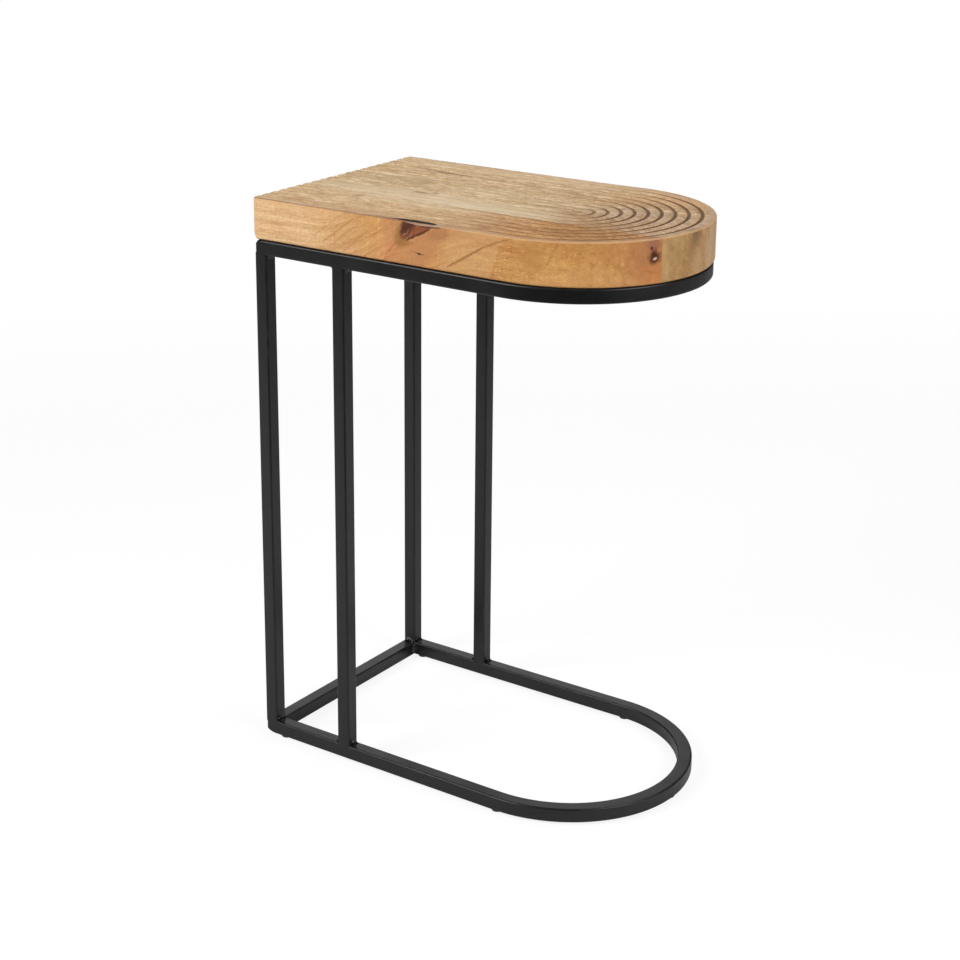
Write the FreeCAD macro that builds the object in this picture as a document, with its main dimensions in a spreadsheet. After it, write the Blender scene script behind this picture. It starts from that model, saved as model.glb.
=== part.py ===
import FreeCAD, Part
import math
import os
import Sketcher
from FreeCAD import Rotation, Vector

# A C shaped side table. A thick grooved wooden block lies on a welded frame of square steel tube.
# +X runs from the straight end to the round end, +Y to the back, +Z up. The origin is on the floor,
# under the middle of the table's outline. All lengths are in millimetres.

DIMENSIONS = {
    "frame_length": 460,          # outside, straight end to round end
    "frame_width": 286,           # outside, front to back
    "frame_height": 585,          # underside of the base rail to the top of the top rail
    "tube_size": 16,              # side of the square tube
    "tube_wall": 1.2,
    "tube_corner": 1.5,           # outside corner radius of the tube
    "upright_setback": 105,       # straight end to the near face of the inner uprights
    "end_overhang": 3.5,          # block past the frame at the straight end
    "round_overhang": 1.5,        # block past the frame at the round end
    "side_inset": 0.5,            # block inside the frame's outline at the front and the back
    "block_thickness": 47,
    "front_board_width": 86.5,
    "back_board_width": 95,
    "top_easing": 2,              # radius along the block's top edge
    "bottom_easing": 4,           # radius along the block's bottom edge
    "corner_easing": 5,           # radius of the block's two upright corners
    "edge_band": 14.5,            # block's side to the middle of the outermost groove
    "groove_pitch": 13.9,
    "groove_width": 3,
    "groove_depth": 2.5,
    "glide_diameter": 12,
    "glide_height": 3,
    "glide_edge": 0.8,            # radius of the glide's floor edge
    "glide_setback": 24,          # straight end to the middle of the end glides
    "stem_diameter": 6,
    "stem_length": 8,
    "stem_clearance": 0.05,       # radial, glide stem in the tube's hole
    "tab_width": 30,              # along the rail
    "tab_length": 24,             # out from the rail
    "tab_thickness": 3,
    "tab_corner": 4,              # radius of the tab's free corners
    "tab_setback": 60,            # straight end to the middle of the end tabs
    "tab_bend_gap": 30,           # middle of the bend tabs to where the bend starts
    "slot_reach": 13,             # rail's inner face to the middle of the tab's slot
    "slot_width": 5,
    "slot_length": 9,
    "washer_diameter": 12,
    "washer_thickness": 1.2,
    "washer_hole": 4.4,
    "screw_diameter": 4,
    "screw_length": 28,           # under the head
    "screw_point": 4,             # length of the tapered point
    "head_diameter": 8,
    "head_height": 2.6,
    "head_easing": 1.2,           # radius of the head's outer edge
    "pilot_clearance": 0.05,      # radial, screw in the block's pilot hole
    "pilot_spare": 3,             # pilot hole past the screw's point
    "weld_leg": 5,
    "tab_weld_leg": 2.5,
}

# Places that follow from the dimensions. X is counted from the frame's straight end, Y from the
# middle plane and Z from the floor.
STRAIGHT_END = "-(dims.frame_length + dims.round_overhang - dims.end_overhang) / 2"
SIDE_FACE = "(dims.frame_width / 2)"
RAIL_LINE = "((dims.frame_width - dims.tube_size) / 2)"
INNER_FACE = "(dims.frame_width / 2 - dims.tube_size)"
BEND_START = "(dims.frame_length - dims.frame_width / 2)"
UPRIGHT_LENGTH = "(dims.frame_height - 2 * dims.tube_size)"
INNER_UPRIGHT_LINE = "(dims.upright_setback + dims.tube_size / 2)"
INNER_UPRIGHT_END = "(dims.upright_setback + dims.tube_size)"
BASE_TOP = "(dims.glide_height + dims.tube_size)"
FRAME_TOP = "(dims.glide_height + dims.frame_height)"
TOP_UNDERSIDE = "(dims.glide_height + dims.frame_height - dims.tube_size)"
TAB_UNDERSIDE = "(dims.glide_height + dims.frame_height - dims.tab_thickness)"
SEAT_OF_HEAD = f"({TAB_UNDERSIDE} - dims.washer_thickness)"
FLAT = "(dims.tube_size - 2 * dims.tube_corner)"      # flat part of a tube's face
BLOCK_RADIUS = "(dims.frame_width / 2 - dims.side_inset)"
BLOCK_BEND = f"(dims.frame_length + dims.round_overhang - {BLOCK_RADIUS})"
SLOT_LINE = f"({INNER_FACE} - dims.slot_reach)"
BEND_TAB_LINE = f"({BEND_START} - dims.tab_bend_gap)"
PILOT_DEPTH = "(dims.screw_length - dims.washer_thickness - dims.tab_thickness + dims.pilot_spare)"

SIDES = {"front": -1, "back": 1}
TAB_LINES = {"end": "dims.tab_setback", "bend": BEND_TAB_LINE}
CUT_PAST = 5            # how far a cutting shape passes the surface that it cuts
SMALLEST_CORE = 0.5     # tightest inside bend of a groove
TOLERANCE = 1e-4

# Points of a sketch element, and the sketch's own origin and axes
START, END, CENTRE = 1, 2, 3
ORIGIN = (-1, 1)
AXIS_ACROSS, AXIS_UP = -1, -2

doc = FreeCAD.newDocument("side_table")
dims = doc.addObject("Spreadsheet::Sheet", "dims")
for row, (alias, size) in enumerate(DIMENSIONS.items(), start=1):
    dims.set(f"A{row}", alias)
    dims.set(f"B{row}", str(size))
    dims.setAlias(f"B{row}", alias)
doc.recompute()

sub_parts = []


def number(formula):
    """The present value of a formula."""
    return float(dims.evalExpression(formula))


def bind(thing, formulas):
    """Ties properties of an object to the sheet."""
    for name, formula in formulas.items():
        thing.setExpression(name, formula)


def place(thing, x="0", y="0", z="0"):
    """Puts an object at x from the straight end, y from the middle plane and z from the floor."""
    bind(thing, {
        "Placement.Base.x": f"{STRAIGHT_END} + {x}",
        "Placement.Base.y": y,
        "Placement.Base.z": z,
    })


# ---- sketches ----

def new_sketch(body, name, plane):
    sketch = body.newObject("Sketcher::SketchObject", f"{body.Name}_{name}")
    planes = [feature for feature in body.Origin.OriginFeatures if feature.Role == plane]
    sketch.AttachmentSupport = [(planes[0], "")]
    sketch.MapMode = "FlatFace"
    return sketch


def constrain(sketch, kind, *references):
    return sketch.addConstraint(Sketcher.Constraint(kind, *references))


def measure(sketch, kind, *references, formula):
    """Adds a constraint whose value comes from the sheet."""
    index = sketch.addConstraint(Sketcher.Constraint(kind, *references, number(formula)))
    sketch.setExpression(f"Constraints[{index}]", formula)


def fix_point(sketch, element, point, x, y):
    """Holds a point at the coordinates that two formulas give."""
    for formula, kind, axis in ((x, "DistanceX", AXIS_UP), (y, "DistanceY", AXIS_ACROSS)):
        if formula == "0":
            constrain(sketch, "PointOnObject", element, point, axis)
        elif number(formula) > 0:
            measure(sketch, kind, *ORIGIN, element, point, formula=formula)
        else:
            measure(sketch, kind, element, point, *ORIGIN, formula=f"-({formula})")


def add_line(sketch, start, end):
    return sketch.addGeometry(Part.LineSegment(Vector(*start, 0), Vector(*end, 0)))


def add_arc(sketch, centre, radius, first, last):
    circle = Part.Circle(Vector(*centre, 0), Vector(0, 0, 1), radius)
    return sketch.addGeometry(Part.ArcOfCircle(circle, math.radians(first), math.radians(last)))


def add_polygon(sketch, corners):
    """A closed outline through corners given as pairs of formulas."""
    spots = [(number(x), number(y)) for x, y in corners]
    lines = [add_line(sketch, spots[i - 1], spots[i]) for i in range(len(spots))]
    for i, line in enumerate(lines):
        constrain(sketch, "Coincident", lines[i - 1], END, line, START)
        fix_point(sketch, line, END, *corners[i])


def add_circle(sketch, x, y, radius):
    circle = Part.Circle(Vector(number(x), number(y), 0), Vector(0, 0, 1), number(radius))
    index = sketch.addGeometry(circle)
    measure(sketch, "Radius", index, formula=radius)
    fix_point(sketch, index, CENTRE, x, y)


def add_square(sketch, size):
    half = f"({size}) / 2"
    add_polygon(sketch, [(half, half), (f"-{half}", half), (f"-{half}", f"-{half}"), (half, f"-{half}")])


def add_rounded_square(sketch, size, corner):
    """A square about the sketch's origin, with its corners rounded."""
    reach = number(size) / 2
    radius = number(corner)
    flat = reach - radius
    sides = [
        add_line(sketch, (reach, -flat), (reach, flat)),
        add_line(sketch, (flat, reach), (-flat, reach)),
        add_line(sketch, (-reach, flat), (-reach, -flat)),
        add_line(sketch, (-flat, -reach), (flat, -reach)),
    ]
    turns = [
        add_arc(sketch, (flat, flat), radius, 0, 90),
        add_arc(sketch, (-flat, flat), radius, 90, 180),
        add_arc(sketch, (-flat, -flat), radius, 180, 270),
        add_arc(sketch, (flat, -flat), radius, 270, 360),
    ]
    for i in range(4):
        constrain(sketch, "Tangent", sides[i], END, turns[i], START)
        constrain(sketch, "Tangent", turns[i - 1], END, sides[i], START)
    for turn in turns[1:]:
        constrain(sketch, "Equal", turns[0], turn)
    constrain(sketch, "Vertical", sides[0])
    constrain(sketch, "Equal", sides[0], sides[1])
    constrain(sketch, "Symmetric", turns[0], CENTRE, turns[2], CENTRE, *ORIGIN)
    measure(sketch, "Radius", turns[0], formula=corner)
    measure(sketch, "DistanceY", sides[0], START, sides[0], END, formula=f"{size} - 2 * {corner}")


def add_u(sketch, reach, bend, radius):
    """Two straight legs and a half circle, open towards -X.

    The legs start at reach before the sketch's origin, and the half circle starts at bend past it.
    """
    start, centre, half = -number(reach), number(bend), number(radius)
    front = add_line(sketch, (start, -half), (centre, -half))
    arc = add_arc(sketch, (centre, 0), half, -90, 90)
    back = add_line(sketch, (centre, half), (start, half))
    constrain(sketch, "Tangent", front, END, arc, START)
    constrain(sketch, "Tangent", arc, END, back, START)
    constrain(sketch, "Horizontal", front)
    constrain(sketch, "Horizontal", back)
    constrain(sketch, "Vertical", front, START, back, END)
    measure(sketch, "Radius", arc, formula=radius)
    fix_point(sketch, arc, CENTRE, bend, "0")
    if reach == "0":
        constrain(sketch, "PointOnObject", front, START, AXIS_UP)
    else:
        measure(sketch, "DistanceX", front, START, *ORIGIN, formula=reach)
    return front, arc, back


def join(sketch, first, first_point, second, second_point):
    """A straight line between two points of a sketch."""
    spots = [sketch.getPoint(first, first_point), sketch.getPoint(second, second_point)]
    line = add_line(sketch, (spots[0].x, spots[0].y), (spots[1].x, spots[1].y))
    constrain(sketch, "Coincident", first, first_point, line, START)
    constrain(sketch, "Coincident", second, second_point, line, END)


def add_slot(sketch, x, y, width, length):
    """A slot along the sketch's upright direction, about a centre given by two formulas."""
    centre, middle, radius = number(x), number(y), number(width) / 2
    half = number(length) / 2 - radius
    right = add_line(sketch, (centre + radius, middle - half), (centre + radius, middle + half))
    upper = add_arc(sketch, (centre, middle + half), radius, 0, 180)
    left = add_line(sketch, (centre - radius, middle + half), (centre - radius, middle - half))
    lower = add_arc(sketch, (centre, middle - half), radius, 180, 360)
    around = [right, upper, left, lower]
    for i in range(4):
        constrain(sketch, "Tangent", around[i - 1], END, around[i], START)
    constrain(sketch, "Equal", upper, lower)
    measure(sketch, "Radius", upper, formula=f"{width} / 2")
    fix_point(sketch, upper, CENTRE, x, f"{y} + ({length} - {width}) / 2")
    fix_point(sketch, lower, CENTRE, x, f"{y} - ({length} - {width}) / 2")


# ---- features ----

def new_body(label):
    """A body that is a sub-part of its own."""
    body = doc.addObject("PartDesign::Body", label)
    sub_parts.append(body)
    return body


def add_feature(body, kind, name, profile, formulas):
    feature = body.newObject(f"PartDesign::{kind}", f"{body.Name}_{name}")
    feature.Profile = profile
    bind(feature, formulas)
    body.Tip = feature
    return feature


def cut(body, name, sketch, depth, side="One side", upward=False):
    """Pockets a sketch out of a body, and makes sure that it takes material away."""
    doc.recompute()
    before = body.Shape.Volume
    pocket = add_feature(body, "Pocket", name, sketch, {"Length": depth})
    pocket.SideType = side
    pocket.Reversed = upward
    doc.recompute()
    if body.Shape.Volume >= before:
        raise RuntimeError(f"{pocket.Name} cuts nothing")


def round_edges(body, name, radius, chosen):
    """Fillets the edges of a body's tip that a test on their box picks."""
    doc.recompute()
    tip = body.Tip
    edges = [f"Edge{i}" for i, edge in enumerate(tip.Shape.Edges, start=1) if chosen(edge.BoundBox)]
    fillet = body.newObject("PartDesign::Fillet", f"{body.Name}_{name}")
    fillet.Base = (tip, edges)
    bind(fillet, {"Radius": radius})
    body.Tip = fillet


def near(first, second):
    return abs(first - second) < TOLERANCE


def group(label, members):
    """Separate solids of one kind as one sub-part."""
    compound = doc.addObject("Part::Compound", label)
    compound.Links = members
    sub_parts.append(compound)


# ---- steel tube frame ----

def add_tube_section(body, plane):
    section = new_sketch(body, "section", plane)
    add_rounded_square(section, "dims.tube_size", "dims.tube_corner")
    add_square(section, "dims.tube_size - 2 * dims.tube_wall")
    return section


def make_rail(label, underside):
    """A tube bent to a U, with its two ends mitred for the cross bar."""
    rail = new_body(label)
    path = new_sketch(rail, "path", "XY_Plane")
    add_u(path, "0", BEND_START, RAIL_LINE)
    section = add_tube_section(rail, "YZ_Plane")
    bind(section, {"AttachmentOffset.Base.x": f"-{RAIL_LINE}"})
    pipe = add_feature(rail, "AdditivePipe", "tube", section, {})
    pipe.Spine = (path, ["Edge1", "Edge2", "Edge3"])
    for side, sign in SIDES.items():
        mitre = new_sketch(rail, f"mitre_{side}", "XY_Plane")
        outside = SIDE_FACE if sign > 0 else f"-{SIDE_FACE}"
        inside = INNER_FACE if sign > 0 else f"-{INNER_FACE}"
        add_polygon(mitre, [("0", outside), ("0", inside), ("dims.tube_size", inside)])
        cut(rail, f"mitre_cut_{side}", mitre, "2 * dims.tube_size", side="Symmetric")
    place(rail, z=f"{underside} + dims.tube_size / 2")
    return rail


def make_cross_bar(label, underside):
    """The straight tube across the straight end, mitred at both ends."""
    bar = new_body(label)
    section = add_tube_section(bar, "XZ_Plane")
    pad = add_feature(bar, "Pad", "tube", section, {"Length": "dims.frame_width"})
    pad.SideType = "Symmetric"
    half = "dims.tube_size / 2"
    for side, sign in SIDES.items():
        mitre = new_sketch(bar, f"mitre_{side}", "XY_Plane")
        outside = SIDE_FACE if sign > 0 else f"-{SIDE_FACE}"
        inside = INNER_FACE if sign > 0 else f"-{INNER_FACE}"
        add_polygon(mitre, [(f"-{half}", outside), (half, outside), (half, inside)])
        cut(bar, f"mitre_cut_{side}", mitre, "2 * dims.tube_size", side="Symmetric")
    place(bar, x=half, z=f"{underside} + {half}")


def make_upright(label, x, y):
    upright = new_body(label)
    section = add_tube_section(upright, "XY_Plane")
    add_feature(upright, "Pad", "tube", section, {"Length": UPRIGHT_LENGTH})
    place(upright, x=x, y=y, z=BASE_TOP)


base_rail = make_rail("base_rail", "dims.glide_height")
top_rail = make_rail("top_rail", TOP_UNDERSIDE)
make_cross_bar("base_cross_bar", "dims.glide_height")
make_cross_bar("top_cross_bar", TOP_UNDERSIDE)
for side, sign in SIDES.items():
    line = f"{sign} * {RAIL_LINE}"
    make_upright(f"upright_{side}_corner", "dims.tube_size / 2", line)
    make_upright(f"upright_{side}_inner", INNER_UPRIGHT_LINE, line)


# ---- floor glides, pressed into holes in the base rail's lower wall ----

GLIDES = {
    "glide_front_end": ("dims.glide_setback", f"-{RAIL_LINE}"),
    "glide_back_end": ("dims.glide_setback", RAIL_LINE),
    "glide_front_bend": (BEND_START, f"-{RAIL_LINE}"),
    "glide_back_bend": (BEND_START, RAIL_LINE),
    "glide_round_end": (f"({BEND_START} + {RAIL_LINE})", "0"),
}


def make_glide(label, x, y):
    """A round plastic foot with a stem."""
    glide = new_body(label)
    half_section = new_sketch(glide, "half_section", "XZ_Plane")
    stem_top = "dims.glide_height + dims.stem_length"
    add_polygon(half_section, [
        ("0", "0"),
        ("dims.glide_diameter / 2", "0"),
        ("dims.glide_diameter / 2", "dims.glide_height"),
        ("dims.stem_diameter / 2", "dims.glide_height"),
        ("dims.stem_diameter / 2", stem_top),
        ("0", stem_top),
    ])
    turned = add_feature(glide, "Revolution", "turned", half_section, {})
    turned.ReferenceAxis = (half_section, ["V_Axis"])
    rim = number("dims.glide_diameter")
    round_edges(glide, "floor_edge", "dims.glide_edge",
                lambda box: near(box.ZMax, 0) and near(box.XLength, rim))
    place(glide, x=x, y=y)


stem_holes = new_sketch(base_rail, "stem_holes", "XY_Plane")
for label, (x, y) in GLIDES.items():
    make_glide(label, x, y)
    add_circle(stem_holes, x, y, "dims.stem_diameter / 2 + dims.stem_clearance")
cut(base_rail, "stem_holes_cut", stem_holes, "dims.tube_size")


# ---- tabs, washers and screws that hold the block ----

def make_tab(label, x, side):
    """A flat steel tab inside the top rail. Its slot lets the block move across its grain."""
    sign = SIDES[side]
    tab = new_body(label)
    outline = new_sketch(tab, "outline", "XY_Plane")
    root = f"{sign} * {INNER_FACE}"
    tip = f"{sign} * ({INNER_FACE} - dims.tab_length)"
    half = "dims.tab_width / 2"
    add_polygon(outline, [(half, root), (f"-{half}", root), (f"-{half}", tip), (half, tip)])
    add_feature(tab, "Pad", "plate", outline, {"Length": "dims.tab_thickness"})
    free_end = number(tip)
    round_edges(tab, "corners", "dims.tab_corner",
                lambda box: near(box.YMin, free_end) and near(box.YMax, free_end) and near(box.XLength, 0))
    slot = new_sketch(tab, "slot", "XY_Plane")
    add_slot(slot, "0", f"{sign} * {SLOT_LINE}", "dims.slot_width", "dims.slot_length")
    cut(tab, "slot_cut", slot, "dims.tab_thickness", upward=True)
    place(tab, x=x, z=TAB_UNDERSIDE)


def make_washer(name, x, y):
    outer = doc.addObject("Part::Cylinder", f"{name}_disc")
    bind(outer, {"Radius": "dims.washer_diameter / 2", "Height": "dims.washer_thickness"})
    bore = doc.addObject("Part::Cylinder", f"{name}_bore")
    bind(bore, {"Radius": "dims.washer_hole / 2", "Height": "dims.washer_thickness"})
    washer = doc.addObject("Part::Cut", name)
    washer.Base = outer
    washer.Tool = bore
    place(washer, x=x, y=y, z=SEAT_OF_HEAD)
    return washer


def make_screw(name, x, y):
    """A pan head wood screw, point up."""
    screw = doc.addObject("PartDesign::Body", name)
    half_section = new_sketch(screw, "half_section", "XZ_Plane")
    add_polygon(half_section, [
        ("0", "-dims.head_height"),
        ("dims.head_diameter / 2", "-dims.head_height"),
        ("dims.head_diameter / 2", "0"),
        ("dims.screw_diameter / 2", "0"),
        ("dims.screw_diameter / 2", "dims.screw_length - dims.screw_point"),
        ("0", "dims.screw_length"),
    ])
    turned = add_feature(screw, "Revolution", "turned", half_section, {})
    turned.ReferenceAxis = (half_section, ["V_Axis"])
    crown = -number("dims.head_height")
    round_edges(screw, "head_edge", "dims.head_easing",
                lambda box: near(box.ZMax, crown) and box.XLength > TOLERANCE)
    place(screw, x=x, y=y, z=SEAT_OF_HEAD)
    return screw


washers = []
screws = []
for side, sign in SIDES.items():
    for end, line in TAB_LINES.items():
        make_tab(f"tab_{side}_{end}", line, side)
        washers.append(make_washer(f"washer_{side}_{end}", line, f"{sign} * {SLOT_LINE}"))
        screws.append(make_screw(f"screw_{side}_{end}", line, f"{sign} * {SLOT_LINE}"))
group("screw_washers", washers)
group("top_screws", screws)


# ---- weld beads: quarter rounds in the corners between tubes ----

UP, DOWN = Vector(0, 0, 1), Vector(0, 0, -1)
TO_END, TO_ROUND = Vector(-1, 0, 0), Vector(1, 0, 0)


def make_bead(name, leg_size, length, legs, middle):
    """A bead whose two legs lie on the tubes, centred on the corner point that middle gives."""
    bead = doc.addObject("Part::Cylinder", name)
    bead.Angle = 90
    run = legs[0].cross(legs[1])
    bead.Placement.Rotation = Rotation(legs[0], legs[1], run, "XYZ")
    x, y, z = [f"{spot} - {direction} * {length} / 2" for spot, direction in zip(middle, run)]
    bind(bead, {"Radius": leg_size, "Height": length})
    place(bead, x=x, y=y, z=z)
    return bead


def make_ring_beads(ring, joint, away, rail_middle):
    """The beads of one ring: at the ends of the uprights and in the ring's inside corners."""
    beads = []
    for side, sign in SIDES.items():
        inward = Vector(0, -sign, 0)
        line = f"{sign} * {RAIL_LINE}"
        inner_face = f"{sign} * {INNER_FACE}"
        spots = {
            "corner_rail": ((away, TO_ROUND), ("dims.tube_size", line, joint)),
            "corner_bar": ((inward, away), ("dims.tube_size / 2", inner_face, joint)),
            "inner_near": ((TO_END, away), ("dims.upright_setback", line, joint)),
            "inner_far": ((away, TO_ROUND), (INNER_UPRIGHT_END, line, joint)),
            "inside": ((TO_ROUND, inward), ("dims.tube_size", inner_face, rail_middle)),
        }
        for spot, (legs, middle) in spots.items():
            beads.append(make_bead(f"{ring}_bead_{side}_{spot}", "dims.weld_leg", FLAT, legs, middle))
    group(f"{ring}_weld_beads", beads)


make_ring_beads("base", BASE_TOP, UP, "(dims.glide_height + dims.tube_size / 2)")
make_ring_beads("top", TOP_UNDERSIDE, DOWN, f"({TOP_UNDERSIDE} + dims.tube_size / 2)")

tab_beads = []
for side, sign in SIDES.items():
    for end, line in TAB_LINES.items():
        tab_beads.append(make_bead(
            f"tab_bead_{side}_{end}", "dims.tab_weld_leg", "dims.tab_width",
            (Vector(0, -sign, 0), DOWN), (line, f"{sign} * {INNER_FACE}", TAB_UNDERSIDE)))
group("tab_weld_beads", tab_beads)


# ---- wooden block: three glued boards under one outline and one set of grooves ----

block = doc.addObject("PartDesign::Body", "block")
outline = new_sketch(block, "outline", "XY_Plane")
front_leg, _, back_leg = add_u(outline, "dims.end_overhang", BLOCK_BEND, BLOCK_RADIUS)
join(outline, back_leg, END, front_leg, START)
add_feature(block, "Pad", "slab", outline, {"Length": "dims.block_thickness"})
straight_face = -number("dims.end_overhang")
top_face = number("dims.block_thickness")
round_edges(block, "corners", "dims.corner_easing",
            lambda box: near(box.XMax, straight_face) and near(box.YLength, 0))
round_edges(block, "top_edge", "dims.top_easing", lambda box: near(box.ZMin, top_face))
round_edges(block, "bottom_edge", "dims.bottom_easing", lambda box: near(box.ZMax, 0))

pilot_holes = new_sketch(block, "pilot_holes", "XY_Plane")
for sign in SIDES.values():
    for line in TAB_LINES.values():
        add_circle(pilot_holes, line, f"{sign} * {SLOT_LINE}",
                   "dims.screw_diameter / 2 + dims.pilot_clearance")
cut(block, "pilot_holes_cut", pilot_holes, PILOT_DEPTH, upward=True)

groove_line = f"({BLOCK_RADIUS} - dims.edge_band)"
groove_index = 0
while number(f"{groove_line} - dims.groove_width / 2") > SMALLEST_CORE:
    groove_index += 1
    groove = new_sketch(block, f"groove_{groove_index}", "XY_Plane")
    bind(groove, {"AttachmentOffset.Base.z": "dims.block_thickness"})
    reach = f"dims.end_overhang + {CUT_PAST}"
    outer = add_u(groove, reach, BLOCK_BEND, f"{groove_line} + dims.groove_width / 2")
    inner = add_u(groove, reach, BLOCK_BEND, f"{groove_line} - dims.groove_width / 2")
    join(groove, outer[0], START, inner[0], START)
    join(groove, outer[2], END, inner[2], END)
    cut(block, f"groove_cut_{groove_index}", groove, "dims.groove_depth")
    groove_line = f"({groove_line} - dims.groove_pitch)"
place(block, z=FRAME_TOP)


def make_board(label, first, last):
    """The part of the block between two planes across the table."""
    slab = doc.addObject("Part::Box", f"{label}_slab")
    bind(slab, {
        "Length": f"dims.frame_length + dims.end_overhang + dims.round_overhang + 2 * {CUT_PAST}",
        "Width": f"{last} - ({first})",
        "Height": f"dims.block_thickness + 2 * {CUT_PAST}",
    })
    place(slab, x=f"(-dims.end_overhang - {CUT_PAST})", y=first, z=f"{FRAME_TOP} - {CUT_PAST}")
    board = doc.addObject("Part::Common", label)
    board.Base = block
    board.Tool = slab
    sub_parts.append(board)


front_joint = f"(dims.front_board_width - {BLOCK_RADIUS})"
back_joint = f"({BLOCK_RADIUS} - dims.back_board_width)"
make_board("top_board_front", f"(-{BLOCK_RADIUS} - {CUT_PAST})", front_joint)
make_board("top_board_middle", front_joint, back_joint)
make_board("top_board_back", back_joint, f"({BLOCK_RADIUS} + {CUT_PAST})")


# ---- check and write ----

doc.recompute()
for thing in doc.Objects:
    if {"Invalid", "Error"} & set(thing.State):
        raise RuntimeError(f"{thing.Name} failed: {thing.State}")

os.makedirs("parts", exist_ok=True)
for part in sub_parts:
    if part.Shape.isNull() or not part.Shape.isValid():
        raise RuntimeError(f"{part.Label} has no valid shape")
for part in sub_parts:
    part.Shape.exportStep(f"parts/{part.Label}.step")
    print(f"{part.Label}: {len(part.Shape.Solids)} solids, {part.Shape.Volume / 1000:.2f} cm3")
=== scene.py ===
import math
from types import SimpleNamespace

import bmesh
import bpy
from mathutils import Matrix, Vector


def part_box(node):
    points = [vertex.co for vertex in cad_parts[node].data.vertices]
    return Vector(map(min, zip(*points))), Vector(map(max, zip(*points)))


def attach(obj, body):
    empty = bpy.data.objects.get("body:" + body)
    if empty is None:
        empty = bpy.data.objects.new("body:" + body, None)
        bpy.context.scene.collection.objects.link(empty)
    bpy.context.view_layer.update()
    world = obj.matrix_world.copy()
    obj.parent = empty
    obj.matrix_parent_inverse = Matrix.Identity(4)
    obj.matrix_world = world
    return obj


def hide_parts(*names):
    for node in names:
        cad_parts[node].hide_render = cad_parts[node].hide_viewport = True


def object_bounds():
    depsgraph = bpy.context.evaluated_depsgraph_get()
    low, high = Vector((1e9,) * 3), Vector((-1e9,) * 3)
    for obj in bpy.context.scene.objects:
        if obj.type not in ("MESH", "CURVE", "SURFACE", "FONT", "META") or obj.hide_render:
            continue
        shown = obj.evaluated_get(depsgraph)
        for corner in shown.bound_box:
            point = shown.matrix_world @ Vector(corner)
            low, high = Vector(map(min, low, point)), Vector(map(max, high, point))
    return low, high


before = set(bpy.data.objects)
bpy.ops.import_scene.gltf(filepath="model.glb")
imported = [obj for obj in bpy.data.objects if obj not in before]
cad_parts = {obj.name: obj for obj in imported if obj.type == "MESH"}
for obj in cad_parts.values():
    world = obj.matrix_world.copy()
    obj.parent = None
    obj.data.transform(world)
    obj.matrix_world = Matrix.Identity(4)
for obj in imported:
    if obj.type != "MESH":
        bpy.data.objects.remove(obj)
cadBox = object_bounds()
millimetre = 0.001
weldTolerance = 1e-6


# small helpers for node trees: a Value is a socket that can be written into sums

class Value:
    def __init__(self, tree, socket):
        self.tree = tree
        self.socket = socket

    def calc(self, operation, *terms, clamp=False):
        return calc(self.tree, operation, self, *terms, clamp=clamp)

    def other(self, output):  # another output of the same node
        return Value(self.tree, self.socket.node.outputs[output])

    def smooth(self, low, high):  # 0 at low and 1 at high, eased at both ends
        return addNode(self.tree, "ShaderNodeMapRange", {"Value": self, "From Min": low, "From Max": high},
                       interpolation_type="SMOOTHSTEP")

    def swing(self, reach):  # makes a noise swing about zero
        return (self - 0.5) * reach

    def clamped(self):  # kept between 0 and 1
        return self.calc("ADD", 0.0, clamp=True)

    def atLeast(self, term):
        return self.calc("MAXIMUM", term)

    def atMost(self, term):
        return self.calc("MINIMUM", term)

    def absolute(self):
        return self.calc("ABSOLUTE")

    def root(self):
        return self.calc("SQRT")

    def __add__(self, term):
        return self.calc("ADD", term)

    def __sub__(self, term):
        return self.calc("SUBTRACT", term)

    def __mul__(self, term):
        return self.calc("MULTIPLY", term)

    def __truediv__(self, term):
        return self.calc("DIVIDE", term)

    def __neg__(self):
        return self.calc("MULTIPLY", -1.0)

    def __radd__(self, term):
        return self.calc("ADD", term)

    def __rmul__(self, term):
        return self.calc("MULTIPLY", term)

    def __rsub__(self, term):
        return calc(self.tree, "SUBTRACT", term, self)


def feed(tree, slot, term):
    if isinstance(term, Value):
        tree.links.new(term.socket, slot)
    else:
        slot.default_value = term


def calc(tree, operation, *terms, clamp=False):
    node = tree.nodes.new("ShaderNodeMath")
    node.operation = operation
    node.use_clamp = clamp
    for slot, term in zip(node.inputs, terms):
        feed(tree, slot, term)
    return Value(tree, node.outputs[0])


def addNode(tree, kind, inputs=None, output=0, **settings):
    node = tree.nodes.new(kind)
    for name, setting in settings.items():
        setattr(node, name, setting)
    for name, term in (inputs or {}).items():
        feed(tree, node.inputs[name], term)
    return Value(tree, node.outputs[output])


def vectorCalc(tree, operation, *terms, output=0):  # output 1 holds a plain number
    node = tree.nodes.new("ShaderNodeVectorMath")
    node.operation = operation
    for slot, term in zip(node.inputs, terms):
        feed(tree, slot, term)
    return Value(tree, node.outputs[output])


def split(tree, vector):
    x = addNode(tree, "ShaderNodeSeparateXYZ", {0: vector})
    return x, x.other(1), x.other(2)


def combine(tree, x, y, z):
    return addNode(tree, "ShaderNodeCombineXYZ", {0: x, 1: y, 2: z})


def addObject(name, data):
    thing = bpy.data.objects.new(name, data)
    bpy.context.scene.collection.objects.link(thing)
    return thing


# geometry node trees

def newTree(name, inputs):
    tree = bpy.data.node_groups.new(name, "GeometryNodeTree")
    tree.interface.new_socket(name="Geometry", in_out="INPUT", socket_type="NodeSocketGeometry")
    for label, kind in inputs.items():
        tree.interface.new_socket(name=label, in_out="INPUT", socket_type=f"NodeSocket{kind}")
    tree.interface.new_socket(name="Geometry", in_out="OUTPUT", socket_type="NodeSocketGeometry")
    start = tree.nodes.new("NodeGroupInput")
    sockets = {socket.name: Value(tree, socket) for socket in start.outputs if socket.name}
    return tree, sockets


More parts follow.
